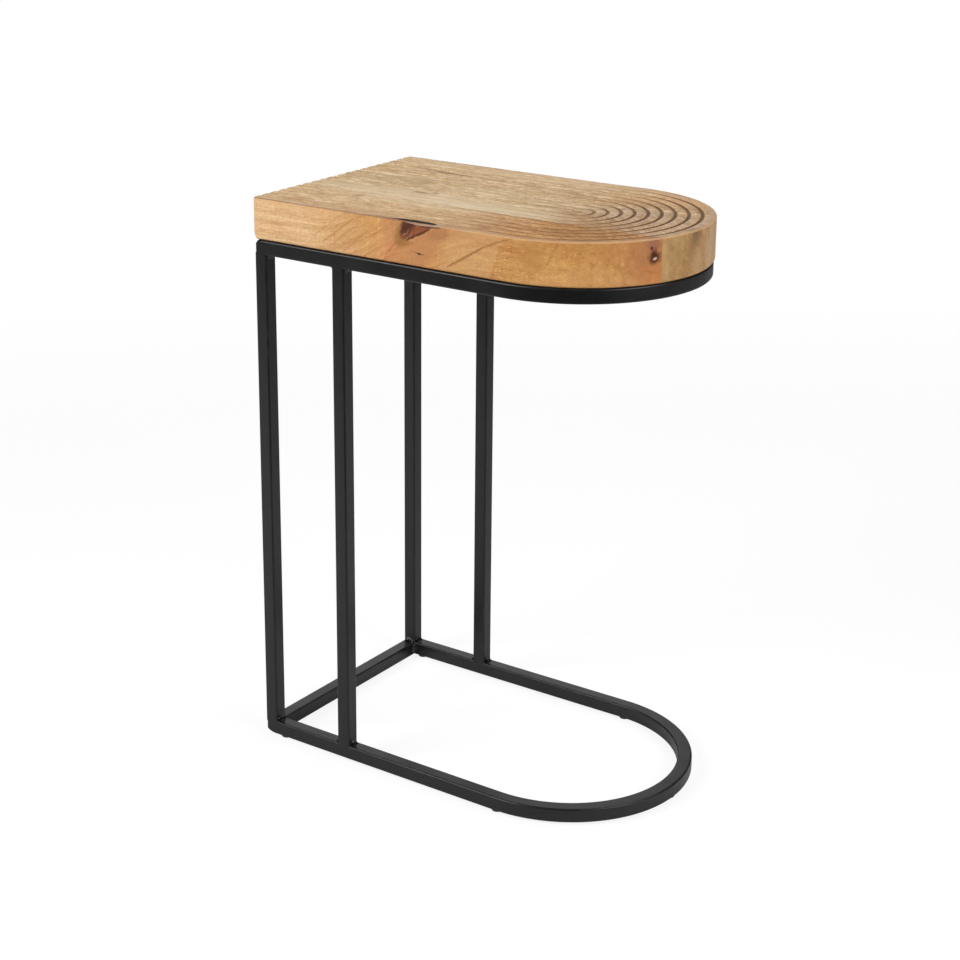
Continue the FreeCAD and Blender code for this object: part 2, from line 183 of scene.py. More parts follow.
def closeTree(tree, geometry, material):  # every tree ends in Realize Instances and Set Material
    whole = addNode(tree, "GeometryNodeRealizeInstances", {0: geometry})
    dressed = addNode(tree, "GeometryNodeSetMaterial", {"Geometry": whole, "Material": material})
    end = tree.nodes.new("NodeGroupOutput")
    tree.links.new(dressed.socket, end.inputs[0])


def storeNumber(tree, geometry, name, number):
    return addNode(tree, "GeometryNodeStoreNamedAttribute",
                   {"Geometry": geometry, "Name": name, "Value": number},
                   data_type="FLOAT", domain="POINT")


def runTree(mesh, tree, settings):  # a plain mesh from a tree that works on another mesh
    holder = addObject(tree.name, mesh)
    modifier = holder.modifiers.new(tree.name, "NODES")
    modifier.node_group = tree
    identifiers = {item.name: item.identifier for item in tree.interface.items_tree
                   if item.in_out == "INPUT"}
    for name, setting in settings.items():
        modifier[identifiers[name]] = setting
    evaluated = holder.evaluated_get(bpy.context.evaluated_depsgraph_get())
    made = bpy.data.meshes.new_from_object(evaluated)
    holder.modifiers.remove(modifier)
    bpy.data.objects.remove(holder)
    return made


# meshes

def lineMesh(name, points, closed=False, numbers=None):
    mesh = bpy.data.meshes.new(name)
    edges = [(i, i + 1) for i in range(len(points) - 1)]
    if closed:
        edges.append((len(points) - 1, 0))
    mesh.from_pydata([Vector(point).to_3d() for point in points], edges, [])
    for label, levels in (numbers or {}).items():
        layer = mesh.attributes.new(label, "FLOAT", "POINT")
        layer.data.foreach_set("value", levels)
    return mesh


def capHoles(bm):
    bmesh.ops.remove_doubles(bm, verts=bm.verts, dist=weldTolerance)
    rim = [edge for edge in bm.edges if edge.is_boundary]
    made = bmesh.ops.holes_fill(bm, edges=rim, sides=0)["faces"]
    bmesh.ops.triangulate(bm, faces=made)
    bmesh.ops.recalc_face_normals(bm, faces=bm.faces)


def reshape(mesh, change):  # a function changes the mesh, or fills an empty one
    bm = bmesh.new()
    bm.from_mesh(mesh)
    change(bm)
    bm.to_mesh(mesh)
    bm.free()
    return mesh


def trim(mesh, cuts):  # keeps what lies behind each plane, given as a point and an outward direction
    def cut(bm):
        for point, direction in cuts:
            geometry = [*bm.verts, *bm.edges, *bm.faces]
            bmesh.ops.bisect_plane(bm, geom=geometry, plane_co=point, plane_no=direction,
                                   clear_outer=True, dist=weldTolerance)
            capHoles(bm)

    return reshape(mesh, cut)


def lathe(outline, steps, material):  # turns (radius, height) points round Z
    turns = [2 * math.pi * i / steps for i in range(steps)]

    def turnOutline(bm):
        rings = []
        for radius, height in outline:
            if radius == 0:
                rings.append([bm.verts.new((0, 0, height))] * steps)
            else:
                rings.append([bm.verts.new((radius * math.cos(a), radius * math.sin(a), height))
                              for a in turns])
        for lower, upper in zip(rings, rings[1:]):
            for i in range(steps):
                corners = [lower[i - 1], lower[i], upper[i], upper[i - 1]]
                bm.faces.new(list(dict.fromkeys(corners)))
        capHoles(bm)

    mesh = reshape(bpy.data.meshes.new("lathed"), turnOutline)
    mesh.materials.append(material)
    return mesh


def finishPiece(name, mesh, node, sharpAngle=40):
    mesh.shade_smooth()
    mesh.set_sharp_from_angle(angle=math.radians(sharpAngle))
    mesh.name = name
    piece = addObject(name, mesh)
    flatten = piece.modifiers.new("evenShading", "WEIGHTED_NORMAL")
    flatten.keep_sharp = True
    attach(piece, "root")
    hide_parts(node)
    return piece


def arcPoints(centre, radius, first, last, steps):
    angles = [math.radians(first + (last - first) * i / steps) for i in range(steps + 1)]
    return [(centre[0] + radius * math.cos(a), centre[1] + radius * math.sin(a)) for a in angles]


# places that the frame gives

railLow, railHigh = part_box("base_rail")
topRailLow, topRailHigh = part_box("top_rail")
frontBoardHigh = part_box("top_board_front")[1]
backBoardLow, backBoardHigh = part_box("top_board_back")
middleLow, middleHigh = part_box("top_board_middle")

tubeSize = railHigh.z - railLow.z
straightEnd = railLow.x
bendCentre = railHigh.x - railHigh.y
railLine = railHigh.y - tubeSize / 2

blockTop = middleHigh.z
blockUnderside = middleLow.z
blockRadius = backBoardHigh.y
blockEnd = middleLow.x
blockBend = middleHigh.x - blockRadius


cameraLook = {
    "place": (1.1565, -1.7512, 1.0825),
    "turn": 35.928,         # degrees, anticlockwise from looking along +Y
    "tilt": -17.156,        # degrees, below the horizon
    "lens": 75.46,
    "sensor": 36,           # millimetres, as the lens
    "shift": (0.0625, -0.1042),
    "sight": 100,           # metres
}


def makeCamera():
    data = bpy.data.cameras.new("camera")
    data.lens = cameraLook["lens"]
    data.sensor_width = cameraLook["sensor"]
    data.shift_x, data.shift_y = cameraLook["shift"]
    data.clip_end = cameraLook["sight"]
    camera = addObject("camera", data)
    camera.location = cameraLook["place"]
    camera.rotation_euler = (math.radians(90 + cameraLook["tilt"]), 0, math.radians(cameraLook["turn"]))
    bpy.context.scene.camera = camera


makeCamera()


studio = {
    "skyForShapes": 0.028,     # light that the room gives to matt surfaces, beside the lamps
    "skyForGloss": 0.017,      # and what satin surfaces mirror of it
    "floorSize": 60,
    "floorColour": 0.86,
    "floorGlow": 0.86,         # seen by the camera, so that the floor stays white
    "farGlow": 0.14,           # added where the lamps no longer reach
    "farZone": (1.0, 3.5),     # metres from the middle
    "floorCatch": 0.18,        # share of the floor that still shows the shadow
    "roomSide": (0.58, -0.81),
    "roomStart": 0.12,         # metres from the table, where mirrored floor fades to the dark room
    "roomEnd": 0.95,
    "roomColour": 0.06,
    "ceiling": (0.35, 0.8),    # heights on the sky where its mirrored light fades out
    "ceilingShare": 0.25,
}

lamps = {
    "key": {"place": (-1.15, -1.95, 1.75), "size": 1.3, "power": 54},
    "side": {"place": (2.1, -0.25, 1.2), "size": 1.2, "power": 30},
    "over": {"place": (0.2, 1.0, 2.3), "size": 1.5, "power": 15},
    "rear": {"place": (-1.5, 2.0, 1.35), "size": 1.5, "power": 7},
}


def rayKinds(tree):  # 1 for what the camera, a mirror or a glass sees
    path = addNode(tree, "ShaderNodeLightPath")
    camera = path.other("Is Camera Ray")
    mirrored = path.other("Is Glossy Ray").atLeast(path.other("Is Transmission Ray"))
    return camera, mirrored


def makeSky():
    world = bpy.data.worlds.new("whiteRoom")
    world.use_nodes = True
    bpy.context.scene.world = world
    tree = world.node_tree
    background = tree.nodes["Background"]
    background.inputs["Color"].default_value = (1, 1, 1, 1)
    camera, mirrored = rayKinds(tree)
    plain = studio["skyForShapes"]
    direction = addNode(tree, "ShaderNodeTexCoord", output="Generated")
    _, _, height = split(tree, direction)
    overhead = height.smooth(*studio["ceiling"])
    gloss = studio["skyForGloss"] * (1 - overhead * (1 - studio["ceilingShare"]))
    level = plain + mirrored * (gloss - plain)
    tree.links.new(level.atLeast(camera).socket, background.inputs["Strength"])


def makeFloor():
    half = studio["floorSize"] / 2
    mesh = bpy.data.meshes.new("floor")
    corners = [(-half, -half, 0), (half, -half, 0), (half, half, 0), (-half, half, 0)]
    mesh.from_pydata(corners, [], [(0, 1, 2, 3)])
    floor = addObject("floor", mesh)
    material = bpy.data.materials.new("floorPaper")
    material.use_nodes = True
    tree = material.node_tree
    tree.nodes.clear()
    place = objectPlace(tree)
    across = vectorCalc(tree, "DOT_PRODUCT", place, (*studio["roomSide"], 0), output=1)
    camera, mirrored = rayKinds(tree)
    dark = across.smooth(studio["roomStart"], studio["roomEnd"]) * mirrored
    bright = studio["floorColour"] + dark * (studio["roomColour"] - studio["floorColour"])
    paper = addNode(tree, "ShaderNodeBsdfDiffuse", {"Color": combine(tree, bright, bright, bright)})
    far = distance(tree, place).smooth(*studio["farZone"])
    glow = addNode(tree, "ShaderNodeEmission", {"Strength": studio["floorGlow"] + far * studio["farGlow"]})
    catch = studio["floorCatch"]
    shadow = addNode(tree, "ShaderNodeBsdfDiffuse", {"Color": (catch, catch, catch, 1)})
    seen = addNode(tree, "ShaderNodeAddShader", {0: glow, 1: shadow})
    front = addNode(tree, "ShaderNodeMixShader", {0: camera, 1: paper, 2: seen})
    clear = addNode(tree, "ShaderNodeBsdfTransparent")
    fromBelow = addNode(tree, "ShaderNodeNewGeometry").other("Backfacing")
    sheet = addNode(tree, "ShaderNodeMixShader", {0: fromBelow, 1: front, 2: clear})
    output = tree.nodes.new("ShaderNodeOutputMaterial")
    tree.links.new(sheet.socket, output.inputs["Surface"])
    mesh.materials.append(material)


def makeLamps():
    aim = (Vector(cadBox[0]) + Vector(cadBox[1])) / 2
    for name, lamp in lamps.items():
        data = bpy.data.lights.new(name, "AREA")
        data.energy = lamp["power"]
        data.size = lamp["size"]
        light = addObject(name, data)
        light.location = lamp["place"]
        light.visible_camera = False
        light.rotation_euler = (aim - light.location).to_track_quat("-Z", "Y").to_euler()


# material helpers

toneStops = (0.1, 0.4, 0.62, 0.9)      # where a look's four colours stand, from dark to pale


def noise(tree, place, scale=1.0, detail=2.0, roughness=0.5):
    return addNode(tree, "ShaderNodeTexNoise",
                   {"Vector": place, "Scale": scale, "Detail": detail, "Roughness": roughness})


def stretch(tree, place, scale):
    return vectorCalc(tree, "MULTIPLY", place, scale)


def distance(tree, offset):
    return vectorCalc(tree, "LENGTH", offset, output=1)


def attribute(tree, name):
    return addNode(tree, "ShaderNodeAttribute", output=2, attribute_name=name)


def mixColour(tree, factor, first, second, blend="MIX"):
    node = tree.nodes.new("ShaderNodeMix")
    node.data_type = "RGBA"
    node.blend_type = blend
    feed(tree, node.inputs[0], factor)
    feed(tree, node.inputs[6], first)
    feed(tree, node.inputs[7], second)
    return Value(tree, node.outputs[2])


def paint(red, green, blue):  # a colour as a picture editor gives it, turned into linear light
    def linear(level):
        level = level / 255
        return level / 12.92 if level <= 0.04045 else ((level + 0.055) / 1.055) ** 2.4
    return (linear(red), linear(green), linear(blue), 1.0)


def ramp(tree, factor, colours, stops=toneStops):
    node = tree.nodes.new("ShaderNodeValToRGB")
    feed(tree, node.inputs[0], factor)
    elements = node.color_ramp.elements
    while len(elements) < len(colours):
        elements.new(0.5)
    for element, position, colour in zip(elements, stops, colours):
        element.position = position
        element.color = paint(*colour)
    return Value(tree, node.outputs[0])


def newMaterial(name):
    material = bpy.data.materials.new(name)
    material.use_nodes = True
    tree = material.node_tree
    return material, tree, tree.nodes["Principled BSDF"]


def surface(tree, shader, look, colour, levels):  # roughness and height are weighed sums of named levels
    def weigh(shares, start):
        return sum((levels[name] * share for name, share in shares.items()), start)

    height = weigh(look["heightShares"], 0.0)
    depth, strength = look["relief"]
    bump = addNode(tree, "ShaderNodeBump", {"Height": height, "Distance": depth, "Strength": strength})
    feed(tree, shader.inputs["Base Color"], colour)
    feed(tree, shader.inputs["Roughness"], weigh(look["roughShares"], look["roughness"]).clamped())
    feed(tree, shader.inputs["Normal"], bump)
    feed(tree, shader.inputs["Specular IOR Level"], look["shine"])


def objectPlace(tree):
    return addNode(tree, "ShaderNodeTexCoord", output=3)


# wood, all in millimetres: x along the block, y across it, up from its underside

fibreNoises = {                        # scales along the fibres, across them and up, then detail, roughness
    "wide": ((0.005, 0.16, 0.16), 2.0, 0.5),
    "streak": ((0.02, 0.7, 0.7), 2.0, 0.6),
    "fibre": ((0.07, 2.4, 2.4), 1.0, 0.5),
    "speck": ((0.28, 1.1, 1.1), 2.0, 0.65),
    "broad": ((0.03, 0.26, 0.26), 3.0, 0.65),
    "dash": ((0.085, 0.3, 0.75), 2.5, 0.6),
    "hue": ((0.016, 0.075, 0.075), 2.0, 0.6),
}

boardNoises = {                        # the same for noises that don't follow the fibres
    "blotch": ((0.014, 0.014, 0.014), 2.0, 0.5),
    "mottle": ((0.3, 0.3, 0.3), 3.0, 0.65),
    "rag": ((0.22, 0.22, 0.22), 2.0, 0.6),
    "band": ((0.11, 0.11, 0.018), 2.0, 0.5),
}

cellMarks = {                          # short marks in some cells: scales, fading edge, which cells have one
    "pores": ((0.15, 1.6, 1.6), (0.34, 0.14), (0.5, 0.65)),
    "flecks": ((0.2, 1.0, 1.0), (0.42, 0.15), (0.6, 0.75)),
}

grain = {
    "seedShares": (1.0, 1.7, 0.6),     # how the seed shifts the noises along, across and up
    "wander": 6.0,                     # how far the fibres stray
    "wanderScale": 0.012,
    "rippleAcross": 1.6,
    "rippleUp": 1.2,
    "rippleScale": (0.07, 0.16, 0.16),
    "parting": 0.7,                    # how much the fibres part round a knot
    "ringBlotch": 3.0,                 # rings that the noises push the yearly rings aside
    "ringWide": 0.8,
    "endBlotch": 1.5,
    "lateWood": (0.5, 0.93),           # shares of a ring where its late wood starts and peaks
    "endLateWood": (0.3, 0.88),
    "colourDrift": 60,                 # how far blotches push the change from left to right
    "roughness": 0.42,                 # of plain wood, and what each level adds to it
    "roughShares": {"streak": 0.2, "pores": 0.16, "pooled": 0.12, "polished": -0.1, "endGrain": 0.08,
                    "sunken": 0.4},
    "heightShares": {"streak": 0.5, "fibre": 0.55, "speck": 0.3, "pores": -0.9, "late": -0.25,
                     "sunken": -1.2},
    "relief": (0.0002, 0.5),           # metres that the height stands for, and strength
    "shine": 0.3,
}

zones = {                              # where something starts and where it is whole
    "top": (41, 46),                   # height above the underside
    "foot": (1.7, 0.5),
    "topSkin": (0.1, 1.4),             # depth below the side face
    "side": (10, 5),
    "outerFibres": (16, 2),
    "outline": (70, 10),
    "knot": (3.2, 0.6),                # distance in sizes of the knot
    "joint": (0.4, 0.1),               # distance from the glue
    "endGrain": (0.3, 1.0),            # slope of the face
    "sawnEnd": (-0.5, -0.95),
    "keySide": (-0.2, -0.8),
    "wear": (-90, 120),                # place along the block
    "bend": (-30, 70),                 # the same, from the start of the bend
    "brow": (-40, 50),
    "rosy": (0.5, 0.72),               # level of the hue noise
    "gold": (0.5, 0.28),
    "dash": (0.3, 0.7),                # level of the dash noise
    "sunk": (0.03, 0.42),              # share of the groove's depth
    "pool": (0.32, 0.62),              # level of the noises that pool the finish and its painted shade
}

toneShares = {                         # how much each noise lightens and darkens the wood
    "wide": 0.9,
    "blotch": 0.5,
    "fibre": 0.45,
    "speck": 1.1,
    "speckLostOnEnd": 0.5,
    "streakTop": 0.3,                  # more of it on the top
    "broadTop": 1.3,
    "dash": 0.22,
    "dashTop": 0.26,
    "fine": 0.6,
    "fineLengthwise": 0.5,
    "band": 0.9,
    "mottleLostOnSawn": 0.55,
    "sawn": 0.1,
    "sawnRing": 0.36,
}


def surveyBlock(tree):  # where a point lies on the block, and which way its face looks
    place = stretch(tree, objectPlace(tree), (1 / millimetre, 1 / millimetre, 1 / millimetre))
    x, y, z = split(tree, place)
    bend, reach = blockBend / millimetre, blockRadius / millimetre
    pastBend = (x - bend).atLeast(0.0)
    deep = reach - (pastBend * pastBend + y * y).root()
    normalX, normalY, _ = split(tree, addNode(tree, "ShaderNodeNewGeometry", output=1))
    spot = SimpleNamespace(tree=tree, place=place, x=x, y=y, deep=deep, up=z - blockUnderside / millimetre)
    spot.along = x.atMost(bend) + pastBend.calc("ARCTAN2", y.absolute()) * reach  # round the outline
    spot.endGrain = normalX.absolute().smooth(*zones["endGrain"])
    spot.lengthwise = 1 - spot.endGrain
    spot.sawn = normalX.smooth(*zones["sawnEnd"])
    spot.facesKey = normalY.smooth(*zones["keySide"])
    spot.onTop = spot.up.smooth(*zones["top"]) * deep.smooth(*zones["topSkin"])
    spot.onSide = deep.smooth(*zones["side"])
    return spot


def followFibres(spot, look):  # they wander a little, dive on the outer face and part round the knots
    tree, dive = spot.tree, look["dive"]
    shift = tuple(look["seed"] * share for share in grain["seedShares"])
    spot.shifted = vectorCalc(tree, "ADD", spot.place, shift)
    wander = noise(tree, spot.shifted, grain["wanderScale"], detail=1.5)
    wanderY, wanderUp, _ = split(tree, wander.other(1))
    ripple = noise(tree, stretch(tree, spot.shifted, grain["rippleScale"]), detail=1.0)
    spot.fibreY = spot.y + wanderY.swing(grain["wander"]) + ripple.swing(grain["rippleAcross"])
    fibreUp = spot.up + wanderUp.swing(grain["wander"]) + ripple.swing(grain["rippleUp"])
    diving = spot.x.smooth(dive["from"], dive["to"]) * spot.deep.smooth(*zones["outerFibres"])
    fibreUp = fibreUp - diving * dive["rise"]
    for knot in look["knots"]:
        offset = vectorCalc(tree, "SUBTRACT", combine(tree, spot.along, spot.deep, spot.up), knot["at"])
        away = distance(tree, vectorCalc(tree, "DIVIDE", offset, knot["size"]))
        _, _, offUp = split(tree, offset)
        fibreUp = fibreUp - offUp * away.smooth(*zones["knot"]) * grain["parting"]
    spot.fibreUp = fibreUp
    spot.fibres = combine(tree, spot.x + look["seed"], spot.fibreY, fibreUp)


def growFigure(spot):  # every noise and mark that the grain is made of
    tree = spot.tree
    figure = SimpleNamespace()
    for start, kinds in ((spot.fibres, fibreNoises), (spot.shifted, boardNoises)):
        for name, (scale, detail, roughness) in kinds.items():
            setattr(figure, name, noise(tree, stretch(tree, start, scale), 1.0, detail, roughness))
    figure.dash = figure.dash.smooth(*zones["dash"])
    for name, (scale, edge, chance) in cellMarks.items():
        place = stretch(tree, spot.fibres, scale)
        cell = addNode(tree, "ShaderNodeTexVoronoi", {"Vector": place, "Scale": 1.0})
        luck, _, _ = split(tree, cell.other("Color"))
        setattr(figure, name, cell.smooth(*edge) * luck.smooth(*chance) * spot.lengthwise)
    return figure


def lateWood(ringCount, start, peak):  # rises slowly over each yearly ring and ends quickly
    phase = ringCount.calc("FRACT")
    return phase.smooth(start, peak) * (1 - phase.smooth(peak, 1.0))


def woodTone(spot, look, figure):
    tree, share = spot.tree, toneShares
    fine = (figure.streak.swing(look["streakShare"]) * (1 + spot.onTop * share["streakTop"])
            + figure.fibre.swing(share["fibre"])
            + figure.speck.swing(share["speck"] - spot.endGrain * share["speckLostOnEnd"])
            + figure.broad.swing(share["broadTop"]) * spot.onTop
            + figure.dash.swing(share["dash"] + spot.onTop * share["dashTop"]))
    rings = (spot.fibreY * look["ringAcross"] + spot.fibreUp * look["ringUp"]
             + figure.blotch.swing(grain["ringBlotch"]) + figure.wide.swing(grain["ringWide"]))
    figure.late = lateWood(rings, *grain["lateWood"])

    # on the sawn end the yearly rings are arcs round each board's pith
    pithY, pithUp = look["pith"]
    fromPith = distance(tree, combine(tree, 0.0, spot.fibreY - pithY, spot.fibreUp - pithUp))
    endRings = fromPith * look["endRings"] + figure.blotch.swing(grain["endBlotch"])
    endLate = lateWood(endRings, *grain["endLateWood"]) * spot.sawn
    mottle = figure.mottle.swing(look["mottleShare"]) * (1 - spot.sawn * share["mottleLostOnSawn"])
    crossCut = (figure.band.swing(share["band"]) + mottle) * spot.endGrain
    crossCut = crossCut + (share["sawn"] - endLate * share["sawnRing"]) * spot.sawn
    return (0.5 + figure.wide.swing(share["wide"]) + figure.blotch.swing(share["blotch"])
            + fine * (share["fine"] + spot.lengthwise * share["fineLengthwise"])
            + crossCut - figure.late * look["ringShare"]).clamped()


def woodColour(spot, look, figure, tone):
    tree = spot.tree
    outward = spot.x + (spot.along - spot.x) * spot.deep.smooth(*zones["outline"])
    warmth = (outward + figure.blotch.swing(2 * grain["colourDrift"])).smooth(*look["warmFrom"])
    toRight = (spot.x + figure.blotch.swing(grain["colourDrift"])).smooth(*look["topTurn"])
    pale, warm, topLeft, topRight = [ramp(tree, tone, look[name])
                                     for name in ("pale", "warm", "topLeft", "topRight")]
    sideColour = mixColour(tree, warmth, pale, warm)
    colour = mixColour(tree, spot.onTop, sideColour, mixColour(tree, toRight, topLeft, topRight))
    rosy = figure.hue.smooth(*zones["rosy"]) * look["hueShare"]
    gold = figure.hue.smooth(*zones["gold"]) * look["hueShare"]
    # painted shade: darkens the top's faces, mostly groove walls, that turn towards the key lamp
    wall = spot.facesKey * spot.onTop * look["keyWallShadeShare"]  # groove walls that face the key lamp
    for factor, tint in ((rosy, "rosyTint"), (gold, "goldTint"), (wall, "keyWallShadeTint")):
        colour = mixColour(tree, factor, colour, look[tint], blend="MULTIPLY")
    colour = mixColour(tree, figure.flecks * look["fleckShare"], colour, look["fleckColour"])
    colour = mixColour(tree, figure.pores * look["poreShare"], colour, look["poreColour"])
    return mixColour(tree, spot.endGrain * look["endShare"], colour, look["endColour"], blend="MULTIPLY")


def drawMarks(spot, look, figure, colour):  # knots, streaks and lines that belong to one board
    tree = spot.tree
    faces = {
        "side": (spot.along, spot.up, spot.onSide),
        "tip": (spot.y, spot.up, spot.onSide),
        "top": (spot.x, spot.y, spot.onTop),
    }
    figure.sunken = spot.onTop * 0.0
    for mark in look["marks"]:
        across, up, shown = faces[mark["face"]]
        mask = mark["draw"](across, up, mark, figure.rag) * shown * mark["share"]
        if mark["grainy"]:
            mask = mask * figure.speck.smooth(0.5 - mark["grainy"], 0.5 + mark["grainy"])
        colour = mixColour(tree, mask, colour, paint(*mark["colour"]))
        if mark["sunken"]:
            figure.sunken = figure.sunken.atLeast(mask)

    # the top's figure shows through its marks as well
    shade = (figure.broad.swing(look["shadeBroad"]) + figure.dash.swing(look["shadeDash"])) * spot.onTop
    tint = combine(tree, *[shade * share + 1 for share in look["shadeShares"]])
    return mixColour(tree, 1.0, colour, tint, blend="MULTIPLY")


# finish pooled in the grooves together with painted groove shade, and rubbed lips with a painted highlight
grooveFinish = {
    "straightPoolShade": (0.08, 0.92),      # share on the unworn end, and its rise with wear
    "poolShadeDash": 0.5,
    "poolShadeWear": 0.2,
    "bendPoolShade": 0.76,
    "polish": (0.06, 0.22),            # share, and its rise with the streaks
    "polishHighlightWear": (0.25, 0.75),
    "brow": 0.55,
}


def finishGrooves(spot, look, figure, colour):  # finish pools in the grooves, with painted shade in them; cloths rub the lips pale, with a painted highlight; the block's top edge gets a painted shade and highlight line
    tree, bend, finish = spot.tree, blockBend / millimetre, grooveFinish
    sunk, lip = attribute(tree, "sunk"), attribute(tree, "lip")
    around = (spot.x - bend).smooth(*zones["bend"])
    wear = spot.x.smooth(*zones["wear"])
    least, rise = finish["straightPoolShade"]
    patchy = figure.broad + figure.dash.swing(finish["poolShadeDash"]) + wear * finish["poolShadeWear"]
    straightPoolShade = (least + wear * rise) * patchy.smooth(*zones["pool"]) * look["poolShadeShare"]
    pooled = sunk.smooth(*zones["sunk"]) * (straightPoolShade * (1 - around) + around * finish["bendPoolShade"])
    colour = mixColour(tree, pooled, colour, mixColour(tree, around, look["poolShadeColour"], look["poolShadeDark"]))
    # lips rubbed pale by cloths, with a painted highlight on the crests
    least, rise = finish["polish"]
    polished = lip.atLeast(0.0) * (least + figure.streak * rise)
    least, rise = finish["polishHighlightWear"]
    polished = polished * (least + wear * rise)
    colour = mixColour(tree, polished, colour, look["lipHighlightColour"])
    # painted shade line along the block's top edge, turning into a painted highlight towards the bend
    toRight = (spot.x + figure.blotch.swing(grain["colourDrift"])).smooth(*zones["brow"])
    arrisShadeAndHighlight = mixColour(tree, toRight, look["arrisShadeDark"], look["arrisHighlightPale"])
    brow = (-lip).atLeast(0.0) * look["arrisShadeShare"] * (finish["brow"] + figure.broad)
    figure.pooled, figure.polished = pooled, polished
    return mixColour(tree, brow, colour, arrisShadeAndHighlight)


def makeWood(name, look):
    material, tree, shader = newMaterial(name)
    spot = surveyBlock(tree)
    followFibres(spot, look)
    figure = growFigure(spot)
    colour = woodColour(spot, look, figure, woodTone(spot, look, figure))
    colour = drawMarks(spot, look, figure, colour)
    colour = finishGrooves(spot, look, figure, colour)

    # painted shade darkens the lowest edge, standing in for the dark gap above the rail, and a hair of glue
    # shows at the joints
    foot = spot.up.smooth(*zones["foot"]) * spot.onSide
    colour = mixColour(tree, foot * look["gapShadeShare"], colour, look["gapShadeColour"])
    joints = [(spot.y - edge / millimetre).absolute().smooth(*zones["joint"])
              for edge in (frontBoardHigh.y, backBoardLow.y)]
    joint = joints[0].atLeast(joints[1])
    colour = mixColour(tree, joint * look["jointShare"], colour, look["poreColour"])

    surface(tree, shader, grain, colour, {**vars(figure), "endGrain": spot.endGrain})
    return material


# marks are drawn on a face: round the side, across the round end (the tip) or on the top

def markOf(draw, face, colour, share, defaults, shape):
    return {"draw": draw, "face": face, "colour": colour, "share": share, "grainy": None, "sunken": False,
            **defaults, **shape}


def blob(face, at, half, colour, share, **shape):  # a soft ellipse, turned by degrees
    defaults = {"at": at, "half": half, "turn": 0, "soft": 0.3, "ragged": 0.5}
    return markOf(blobMask, face, colour, share, defaults, shape)


def blobMask(across, up, mark, rag):
    angle = math.radians(mark["turn"])
    awayX, awayY = across - mark["at"][0], up - mark["at"][1]
    first = (awayX * math.cos(angle) + awayY * math.sin(angle)) / mark["half"][0]
    second = (awayY * math.cos(angle) - awayX * math.sin(angle)) / mark["half"][1]
    away = (first * first + second * second).root() + rag.swing(mark["ragged"])
    return away.smooth(1 + mark["soft"], 1 - mark["soft"])


strokeEdge = {"thinnest": 0.25, "core": 0.4, "fade": 0.9}  # shares of a stroke's half width


def stroke(face, start, end, half, colour, share, **shape):  # a line that gets thin towards both ends
    defaults = {"start": start, "end": end, "half": half, "wobble": 2.0, "bow": 0.0}
    return markOf(strokeMask, face, colour, share, defaults, shape)


def strokeMask(across, up, mark, rag):
    start = Vector(mark["start"])
    run = Vector(mark["end"]) - start
    awayX, awayY = across - start.x, up - start.y
    share = ((awayX * run.x + awayY * run.y) / run.length_squared).clamped()
    side = (awayY * run.x - awayX * run.y) / run.length + rag.swing(mark["wobble"])
    side = side + share * (1 - share) * mark["bow"]
    past = ((awayX - share * run.x) * run.x + (awayY - share * run.y) * run.y) / run.length
    half = ((share * (1 - share) * 4).root() + strokeEdge["thinnest"]) * mark["half"]
    away = (side * side + past * past).root()
    return 1 - ((away - half * strokeEdge["core"]) / (half * strokeEdge["fade"])).clamped()


def patch(face, corners, colour, share, **shape):  # a convex patch, its corners given anticlockwise
    return markOf(patchMask, face, colour, share, {"corners": corners, "soft": 0.8, "ragged": 2.0}, shape)


def patchMask(across, up, mark, rag):
    soft, corners = mark["soft"], mark["corners"]
    ragged = rag.swing(mark["ragged"])
    mask = 1.0
    for start, end in zip(corners, corners[1:] + corners[:1]):
        run = Vector(end) - Vector(start)
        inward = ((up - start[1]) * run.x - (across - start[0]) * run.y) / run.length
        mask = (inward + ragged).smooth(-soft, soft) * mask
    return mask


# each board's look; its four colours go from dark to pale, and the turns are places along the block

woodCommon = {
    "streakShare": 0.7,
    "ringShare": 0.08,
    "pith": (0, -60),                  # millimetres, across and up from the underside
    "endRings": 0.19,                  # rings per millimetre on the sawn end
    "fleckShare": 0.6,
    "fleckColour": paint(246, 216, 168),
    "poreShare": 0.5,
    "poreColour": paint(140, 92, 50),
    "endShare": 0.4,
    "endColour": paint(232, 216, 196),
    "mottleShare": 0.9,
    # painted shade on the top's faces that turn towards the key lamp
    "keyWallShadeShare": 0.5,
    "keyWallShadeTint": paint(232, 232, 232),
    "hueShare": 0.5,
    "rosyTint": paint(255, 240, 236),
    "goldTint": paint(252, 248, 222),
    "shadeBroad": 0.45,                # how much the noises shade the top's marks
    "shadeDash": 0.1,
    "shadeShares": (0.8, 1, 1.25),     # red, green and blue
    # finish pooled in the grooves, with painted shade
    "poolShadeShare": 0.55,
    "poolShadeColour": paint(130, 88, 48),
    "poolShadeDark": paint(102, 70, 36),
    # painted shade along the block's lowest edge
    "gapShadeShare": 0.65,
    "gapShadeColour": paint(52, 36, 24),
    "jointShare": 0.4,
    # lips rubbed pale, with a painted highlight
    "lipHighlightColour": paint(240, 210, 168),
    # painted shade and highlight line along the block's top edge
    "arrisShadeShare": 0.7,
    "arrisShadeDark": paint(146, 96, 54),
    "arrisHighlightPale": paint(216, 172, 126),
    "knots": [],
    "marks": [],
}

